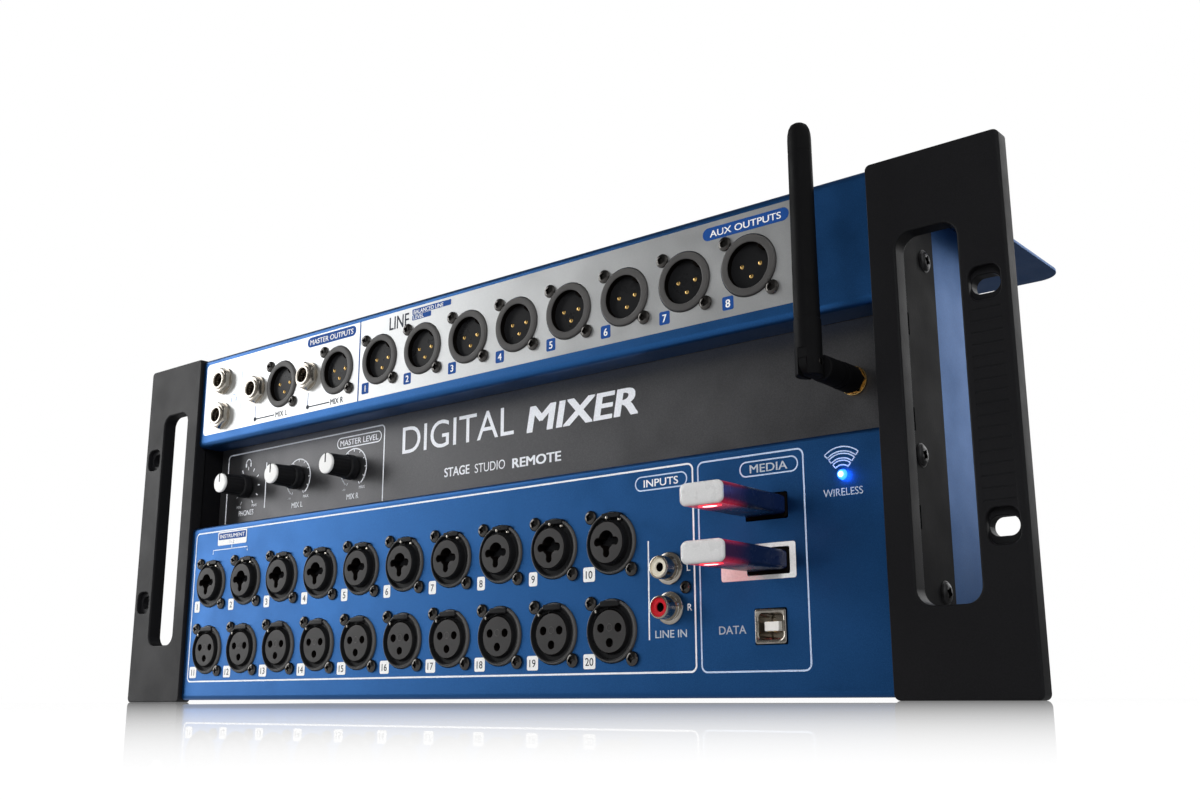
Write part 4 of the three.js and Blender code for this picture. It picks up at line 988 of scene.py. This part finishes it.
# ---------------------------------------------------------------- antenna
mb = MB()
mb.lathe(ANT_X, ANT_Z, [(0, 14.3), (3.1, 14.3), (3.1, 17.0), (3.1, 34.0), (0, 34.0)], "sma", n=32)
n = 48
hexr = lambda k, i: (1.0 / max(math.cos(((2 * math.pi * i / n) % (math.pi / 3)) - math.pi / 6), 0.5)) if k in (1, 2, 3) else 1.0
mb.lathe(ANT_X, ANT_Z, [(3.1, 14.3), (4.38, 14.3), (4.42, 14.5), (4.42, 15.3), (4.5, 15.4), (3.2, 15.42)], "sma", n=n, radial=hexr)
mb.lathe(ANT_X, ANT_Z, [(3.2, 15.42), (4.95, 15.42), (5.12, 15.5), (5.15, 15.7), (5.15, 16.1), (5.0, 16.2), (3.2, 16.2)], "sma", n=n)
mb.lathe(ANT_X, ANT_Z, [(3.2, 18.3), (4.0, 18.3), (4.0, 21.0), (3.2, 21.0)], "sma", n=n, radial=lambda k, i: hexr(k + 1, i) if k in (1, 2) else 1.0)
mb.build("antenna_connector", "case", ["antenna_socket"], "gold")

mb = MB()
knurl = lambda k, i: 1.0 - (0.03 * (i % 2) if 2 <= k <= 5 else 0.0)
mb.lathe(ANT_X, ANT_Z, [(0, 14.0), (4.5, 14.0), (4.8, 13.8), (4.85, 13.4), (4.85, 9.5), (4.85, 6.0), (4.7, 5.3), (4.5, 5.1)], "antenna", n=60, radial=knurl)
mb.lathe(ANT_X, ANT_Z, [(4.5, 5.5), (4.6, 5.2), (4.6, 4.6), (4.6, -6.2), (4.45, -6.9), (4.1, -7.25), (0, -7.3)], "antenna", n=48)
mb.lathe(ANT_X, ANT_Z, [(4.58, 3.4), (4.68, 3.2), (4.68, 2.4), (4.58, 2.2)], "antenna", n=48)
# tongue with a rounded end
prof = [(-6.9, ANT_Z - 4.0)] + [(PIV_Y + 4.25 * math.cos(math.radians(a)), ANT_Z + 4.25 * math.sin(math.radians(a))) for a in range(270, 89, -12)] + [(-6.9, ANT_Z + 4.0)]
mb.sweepX(prof, ANT_X - 1.45, ANT_X + 1.45, "antenna")
mb.build("antenna_elbow_detail", "antenna_elbow", ["antenna_swivel"], "antenna_black")

mb = MB()
prof = [(0, 112.0), (4.3, 112.0), (4.6, 112.0), (4.6, 121.5), (4.52, 122.0), (4.3, 122.3), (4.3, 122.8), (4.42, 123.1), (4.36, 126.0), (4.2, 150.0), (4.08, 180.8), (3.98, 181.0), (3.98, 181.4), (4.08, 181.6), (4.06, 185.9), (3.94, 187.9), (3.58, 189.7), (2.9, 191.1), (1.9, 191.8), (0.9, 192.07), (0, 192.1)]
lath = MB()
lath.lathe(0, 0, prof, "antenna", n=56)
lath.v = [(ANT_X + x, PIV_Y + z, y) for x, y, z in lath.v]
mb.merge(lath)
for s in (-1, 1):
    # one side of the fork: a round-backed cheek with a softened foot
    verts, m = [], 25
    levels = [(102.9, 0.4), (102.97, 0.18), (103.15, 0.05), (103.4, 0.0), (112.0, 0.0)]
    for z, d in levels:
        r, x0 = 4.6 - d, 1.75 + d * 0.6
        span = math.acos(x0 / r)
        verts += [(ANT_X + s * r * math.cos(span * (2 * i / (m - 1) - 1)), PIV_Y + r * math.sin(span * (2 * i / (m - 1) - 1)), z) for i in range(m)]
    faces = [(k * m + i, k * m + (i + 1) % m, (k + 1) * m + (i + 1) % m, (k + 1) * m + i) for k in range(len(levels) - 1) for i in range(m)]
    faces += [tuple(range(m)), tuple(range((len(levels) - 1) * m, len(levels) * m))]
    mb.add(verts, faces, "antenna")
# the slot is closed above the tongue's round end
arc = [(PIV_Y + 4.42 * math.cos(math.radians(a)), ANT_Z + 4.42 * math.sin(math.radians(a))) for a in range(160, 89, -5)]
mb.sweepX([(PIV_Y - 4.24, ANT_Z + 1.3)] + arc + [(PIV_Y + 4.24, ANT_Z + 4.42), (PIV_Y + 4.24, 112.3), (PIV_Y - 4.24, 112.3)], ANT_X - 1.78, ANT_X + 1.78, "antenna")
pin = MB()
pin.lathe(0, 0, [(0, -4.6), (1.1, -4.6), (1.3, -4.5), (1.3, 4.5), (1.1, 4.6), (0, 4.6)], "darkchrome", n=24)
pin.v = [(ANT_X + y, PIV_Y + x, ANT_Z + z) for x, y, z in pin.v]
mb.merge(pin)
mb.build("antenna_stub_detail", "antenna_stub", ["antenna_whip"], "antenna_black")


# ---------------------------------------------------------------- sheet parts and rear fittings, refined from the part's solids
def refined(node, name, body, keys, width=0.25, seg=2, extra=None):
    """A copy of the node's solid with coplanar faces joined and every edge sharper than 28° softened."""
    me = NODES[node].data.copy()
    me.name = name
    bm = bmesh.new()
    bm.from_mesh(me)
    bmesh.ops.remove_doubles(bm, verts=bm.verts[:], dist=1e-6)
    bmesh.ops.dissolve_limit(bm, angle_limit=math.radians(1.0), verts=bm.verts[:], edges=bm.edges[:])
    edges = [e for e in bm.edges if len(e.link_faces) == 2 and e.calc_face_angle(0.0) > math.radians(28)]
    bmesh.ops.bevel(bm, geom=edges, offset=width / 1000.0, segments=seg, affect="EDGES", profile=0.5, clamp_overlap=True)
    bmesh.ops.triangulate(bm, faces=[f for f in bm.faces if len(f.verts) > 4])
    bm.to_mesh(me)
    bm.free()
    me.materials.clear()
    me.materials.append(M[keys])
    for p in me.polygons:
        p.use_smooth = True
        p.material_index = 0
    me.set_sharp_from_angle(angle=math.radians(50))
    ob = bpy.data.objects.new(name, me)
    bpy.context.scene.collection.objects.link(ob)
    even_normals(ob)
    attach(ob, body)
    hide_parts(node)
    return ob


refined("top_cover", "top_sheet", "case", "blue", 0.3, 3)
refined("rear_cover", "case_shell", "case", "blue", 0.25, 2)
refined("power_inlet", "inlet_housing", "case", "inlet", 0.4, 2)
refined("power_rocker", "rocker", "power_rocker", "rocker", 0.5, 3)
refined("rear_ports", "rear_port_shells", "case", "nickel", 0.15, 2)
refined("power_supply", "mains_module", "case", "psu", 0.4, 2)
refined("front_board", "front_circuit_board", "case", "pcb", 0.1, 1)
refined("main_board", "main_circuit_board", "case", "pcb", 0.1, 1)

mb = MB()
for dx in (-7.0, 0.0, 7.0):
    mb.box(-150 + dx - 1.0, -150 + dx + 1.0, 72, 83.5, 42 - 2.0 + (1.6 if dx == 0 else -0.4), 42 + 2.0 + (1.6 if dx == 0 else -0.4), "nickel", 0.3)
mb.build("inlet_pins", "case", (), "nickel")
mb = MB()
for i in range(8):
    mb.box(60 - 4.4 + i * 1.25 - 0.22, 60 - 4.4 + i * 1.25 + 0.22, 75, 83.6, 42 + 3.0, 42 + 3.4, "gold", 0.05)
mb.build("network_contacts", "case", (), "nickel")

# screws along the hood and the rear wall
mb = MB()
for x in (-180, -90, 0, 90, 180):
    s = MB()
    screw(s, x, 0, 0.0, r=2.6, h=1.1, turn=x)
    s.v = [(px, 20.5 + pz, CASE_TOP - py - 0.02) for px, py, pz in s.v]
    mb.merge(s)
for x in (-182, -60, 60, 182):
    for z in (14, 160):
        s = MB()
        screw(s, x, z, 0.0, r=2.6, h=1.1, turn=x + z)
        s.v = [(-px + 2 * x, 85.0 - py - 0.02, pz) for px, py, pz in s.v]
        mb.merge(s)
mb.build("case_screws", "case", (), "connector_black")

# ---------------------------------------------------------------- floor, backdrop, light, camera
def floor_material():
    t = Tree("floor_white")
    n = t.noise(3.0, 3.0)
    t.set(Base_Color=t.mix(t.remap(n, 0.3, 0.7, 0.0, 1.0), (0.19, 0.19, 0.192), (0.2, 0.2, 0.202)), Roughness=t.remap(t.noise(40.0), 0.3, 0.7, 0.6, 0.7))
    t.p.inputs["Specular IOR Level"].default_value = 0.0
    path = t.node("ShaderNodeLightPath")
    t.p.inputs["Emission Color"].default_value = (1, 1, 1, 1)
    # lifted to white away from the part; a little less beside it, so that its shadow reads
    far = t.node("ShaderNodeVectorMath", operation="LENGTH")
    t.link(t.co, far.inputs[0])
    lift = t.remap(far.outputs["Value"], 0.22, 0.95, FLOOR_LIFT, 1.0)
    # it gives more light in front of the part than behind it
    sp = t.node("ShaderNodeSeparateXYZ")
    t.link(t.co, sp.inputs[0])
    side = t.node("ShaderNodeMath", operation="MULTIPLY")
    t.link(t.remap(sp.outputs["Y"], -0.07, 0.05, 0.62, 0.05), side.inputs[0])
    t.link(t.remap(sp.outputs["X"], -0.2, 0.2, 1.0, 0.42), side.inputs[1])
    glow = side.outputs[0]
    cam = t.node("ShaderNodeMapRange")
    t.link(path.outputs["Is Camera Ray"], cam.inputs["Value"])
    t.link(glow, cam.inputs["To Min"])
    t.link(lift, cam.inputs["To Max"])
    t.link(cam.outputs[0], t.p.inputs["Emission Strength"])
    g = t.node("ShaderNodeBsdfGlossy")
    g.inputs["Roughness"].default_value = 0.0
    g.inputs["Color"].default_value = (1, 1, 1, 1)
    f = t.node("ShaderNodeFresnel")
    f.inputs["IOR"].default_value = 1.45
    m = t.node("ShaderNodeMixShader")
    pw = t.node("ShaderNodeMath", operation="POWER")
    t.link(t.remap(f.outputs["Fac"], 0.6, 1.0, 0.0, 1.0), pw.inputs[0])
    pw.inputs[1].default_value = 3.6
    near = t.node("ShaderNodeMath", operation="MULTIPLY")
    t.link(pw.outputs[0], near.inputs[0])
    t.link(t.remap(far.outputs["Value"], 0.75, 1.25, 1.0, 0.0), near.inputs[1])
    t.link(near.outputs[0], m.inputs[0])
    t.link(t.p.outputs["BSDF"], m.inputs[1])
    t.link(g.outputs["BSDF"], m.inputs[2])
    t.link(m.outputs["Shader"], t.out.inputs["Surface"])
    return t.mat


FLOOR_LIFT = 0.84
me = bpy.data.meshes.new("floor")
s = 12.0
me.from_pydata([(-s, -s, 0), (s, -s, 0), (s, s, 0), (-s, s, 0)], [], [(0, 1, 2, 3)])
me.materials.append(floor_material())
floor = bpy.data.objects.new("floor", me)
bpy.context.scene.collection.objects.link(floor)

# a white backdrop behind, a dark studio in front
GLOOM = 0.1
world = bpy.data.worlds.new("studio")
bpy.context.scene.world = world
world.use_nodes = True
nt = world.node_tree
nt.nodes.clear()
wo = nt.nodes.new("ShaderNodeOutputWorld")
bg1, bg2, mx, lp = nt.nodes.new("ShaderNodeBackground"), nt.nodes.new("ShaderNodeBackground"), nt.nodes.new("ShaderNodeMixShader"), nt.nodes.new("ShaderNodeLightPath")
tc, dot, mr = nt.nodes.new("ShaderNodeTexCoord"), nt.nodes.new("ShaderNodeVectorMath"), nt.nodes.new("ShaderNodeMapRange")
dot.operation = "DOT_PRODUCT"
dot.inputs[1].default_value = (-0.634, 0.773, 0.0)
nt.links.new(tc.outputs["Generated"], dot.inputs[0])
nt.links.new(dot.outputs["Value"], mr.inputs["Value"])
mr.inputs["From Min"].default_value, mr.inputs["From Max"].default_value = 0.72, 0.86
mr.inputs["To Min"].default_value, mr.inputs["To Max"].default_value = 0.0, 1.0
# the bright backdrop is low; above it the studio is dark, with a soft glow to the right
sep, lowz, wz = nt.nodes.new("ShaderNodeSeparateXYZ"), nt.nodes.new("ShaderNodeMapRange"), nt.nodes.new("ShaderNodeMath")
nt.links.new(tc.outputs["Generated"], sep.inputs[0])
nt.links.new(sep.outputs["Z"], lowz.inputs["Value"])
for key, v in (("From Min", 0.1), ("From Max", 0.2), ("To Min", 1.0), ("To Max", 0.0)):
    lowz.inputs[key].default_value = v
wz.operation = "MULTIPLY"
nt.links.new(mr.outputs["Result"], wz.inputs[0])
nt.links.new(lowz.outputs["Result"], wz.inputs[1])
dr, mg, top = nt.nodes.new("ShaderNodeVectorMath"), nt.nodes.new("ShaderNodeMapRange"), nt.nodes.new("ShaderNodeMath")
dr.operation = "DOT_PRODUCT"
dr.inputs[1].default_value = (0.93, -0.3, 0.2)
nt.links.new(tc.outputs["Generated"], dr.inputs[0])
nt.links.new(dr.outputs["Value"], mg.inputs["Value"])
for key, v in (("From Min", 0.4), ("From Max", 0.95), ("To Min", GLOOM), ("To Max", 0.6)):
    mg.inputs[key].default_value = v
top.operation = "MAXIMUM"
nt.links.new(wz.outputs[0], top.inputs[0])
nt.links.new(mg.outputs["Result"], top.inputs[1])
nt.links.new(top.outputs[0], bg1.inputs["Strength"])
bg1.inputs["Color"].default_value = (1, 1, 1, 1)
bg2.inputs["Color"].default_value = (1, 1, 1, 1)
bg2.inputs["Strength"].default_value = 1.0
nt.links.new(lp.outputs["Is Camera Ray"], mx.inputs[0])
nt.links.new(bg1.outputs[0], mx.inputs[1])
nt.links.new(bg2.outputs[0], mx.inputs[2])
nt.links.new(mx.outputs[0], wo.inputs["Surface"])


def area(name, loc, target, sx, sy, watts, col=(1, 1, 1)):
    d = bpy.data.lights.new(name, "AREA")
    d.shape, d.size, d.size_y, d.energy, d.color = "RECTANGLE", sx, sy, watts, col
    o = bpy.data.objects.new(name, d)
    o.location = loc
    o.rotation_euler = (Vector(target) - Vector(loc)).to_track_quat("-Z", "Y").to_euler()
    bpy.context.scene.collection.objects.link(o)
    return o


area("left_softbox", (-1.55, -0.72, 0.62), (-0.15, -0.05, 0.12), 1.0, 1.4, 16)
key = area("key_softbox", (1.0, -2.3, 1.2), (-0.28, 0.0, 0.09), 1.3, 1.0, 3.0)
key.data.spread = math.radians(34)
key.visible_glossy = False  # it lights the print without a glare on the sheets
area("right_softbox", (1.6, 0.1, 0.8), (0.1, 0.0, 0.1), 0.7, 0.9, 0.8)
area("top_softbox", (0.35, 0.5, 1.5), (0.0, 0.05, 0.1), 1.4, 1.0, 3.2)
area("back_softbox", (0.3, 1.7, 0.7), (0.0, 0.1, 0.08), 1.4, 0.9, 8.0)
for w, z in MEDIA_Z.items():
    for k in (-1, 1):
        d = bpy.data.lights.new(f"stick_glow_{w}_{'low' if k < 0 else 'high'}", "SPOT")
        d.energy, d.color, d.shadow_soft_size = (0.022 if k < 0 else 0.009), (1.0, 0.03, 0.05), 0.003
        d.spot_size, d.spot_blend = math.radians(48), 1.0
        o = bpy.data.objects.new(d.name, d)
        o.location = W(MEDIA_X - 2, -31.5, z + k * 5.5)
        o.rotation_euler = (W(134, 2, z + k * 7) - o.location).to_track_quat("-Z", "Y").to_euler()
        bpy.context.scene.collection.objects.link(o)

d = bpy.data.lights.new("lamp_glow", "POINT")
d.energy, d.color, d.shadow_soft_size = 0.0016, (0.05, 0.25, 1.0), 0.002
o = bpy.data.objects.new("lamp_glow", d)
o.location = W(LED_X, -0.6, LED_Z)
bpy.context.scene.collection.objects.link(o)

cam = bpy.data.cameras.new("view")
cam.sensor_fit, cam.sensor_width = "HORIZONTAL", 36.0
cam.lens = 1257.245 / 1200.0 * 36.0
cam.clip_start, cam.clip_end = 0.005, 100.0
cam.dof.use_dof = False
co = bpy.data.objects.new("camera", cam)
right = Vector((0.77339221, 0.63391274, -0.00437472))
up = Vector((0.14916166, -0.17526573, 0.97315606))
back = Vector((0.61612929, -0.75328386, -0.23010462))
rot = Matrix((right, up, back)).transposed().to_4x4()
co.matrix_world = Matrix.Translation(W(376.663623, -364.729571, 1.5)) @ rot
bpy.context.scene.collection.objects.link(co)
bpy.context.scene.camera = co
bpy.context.scene.view_settings.view_transform = "Standard"
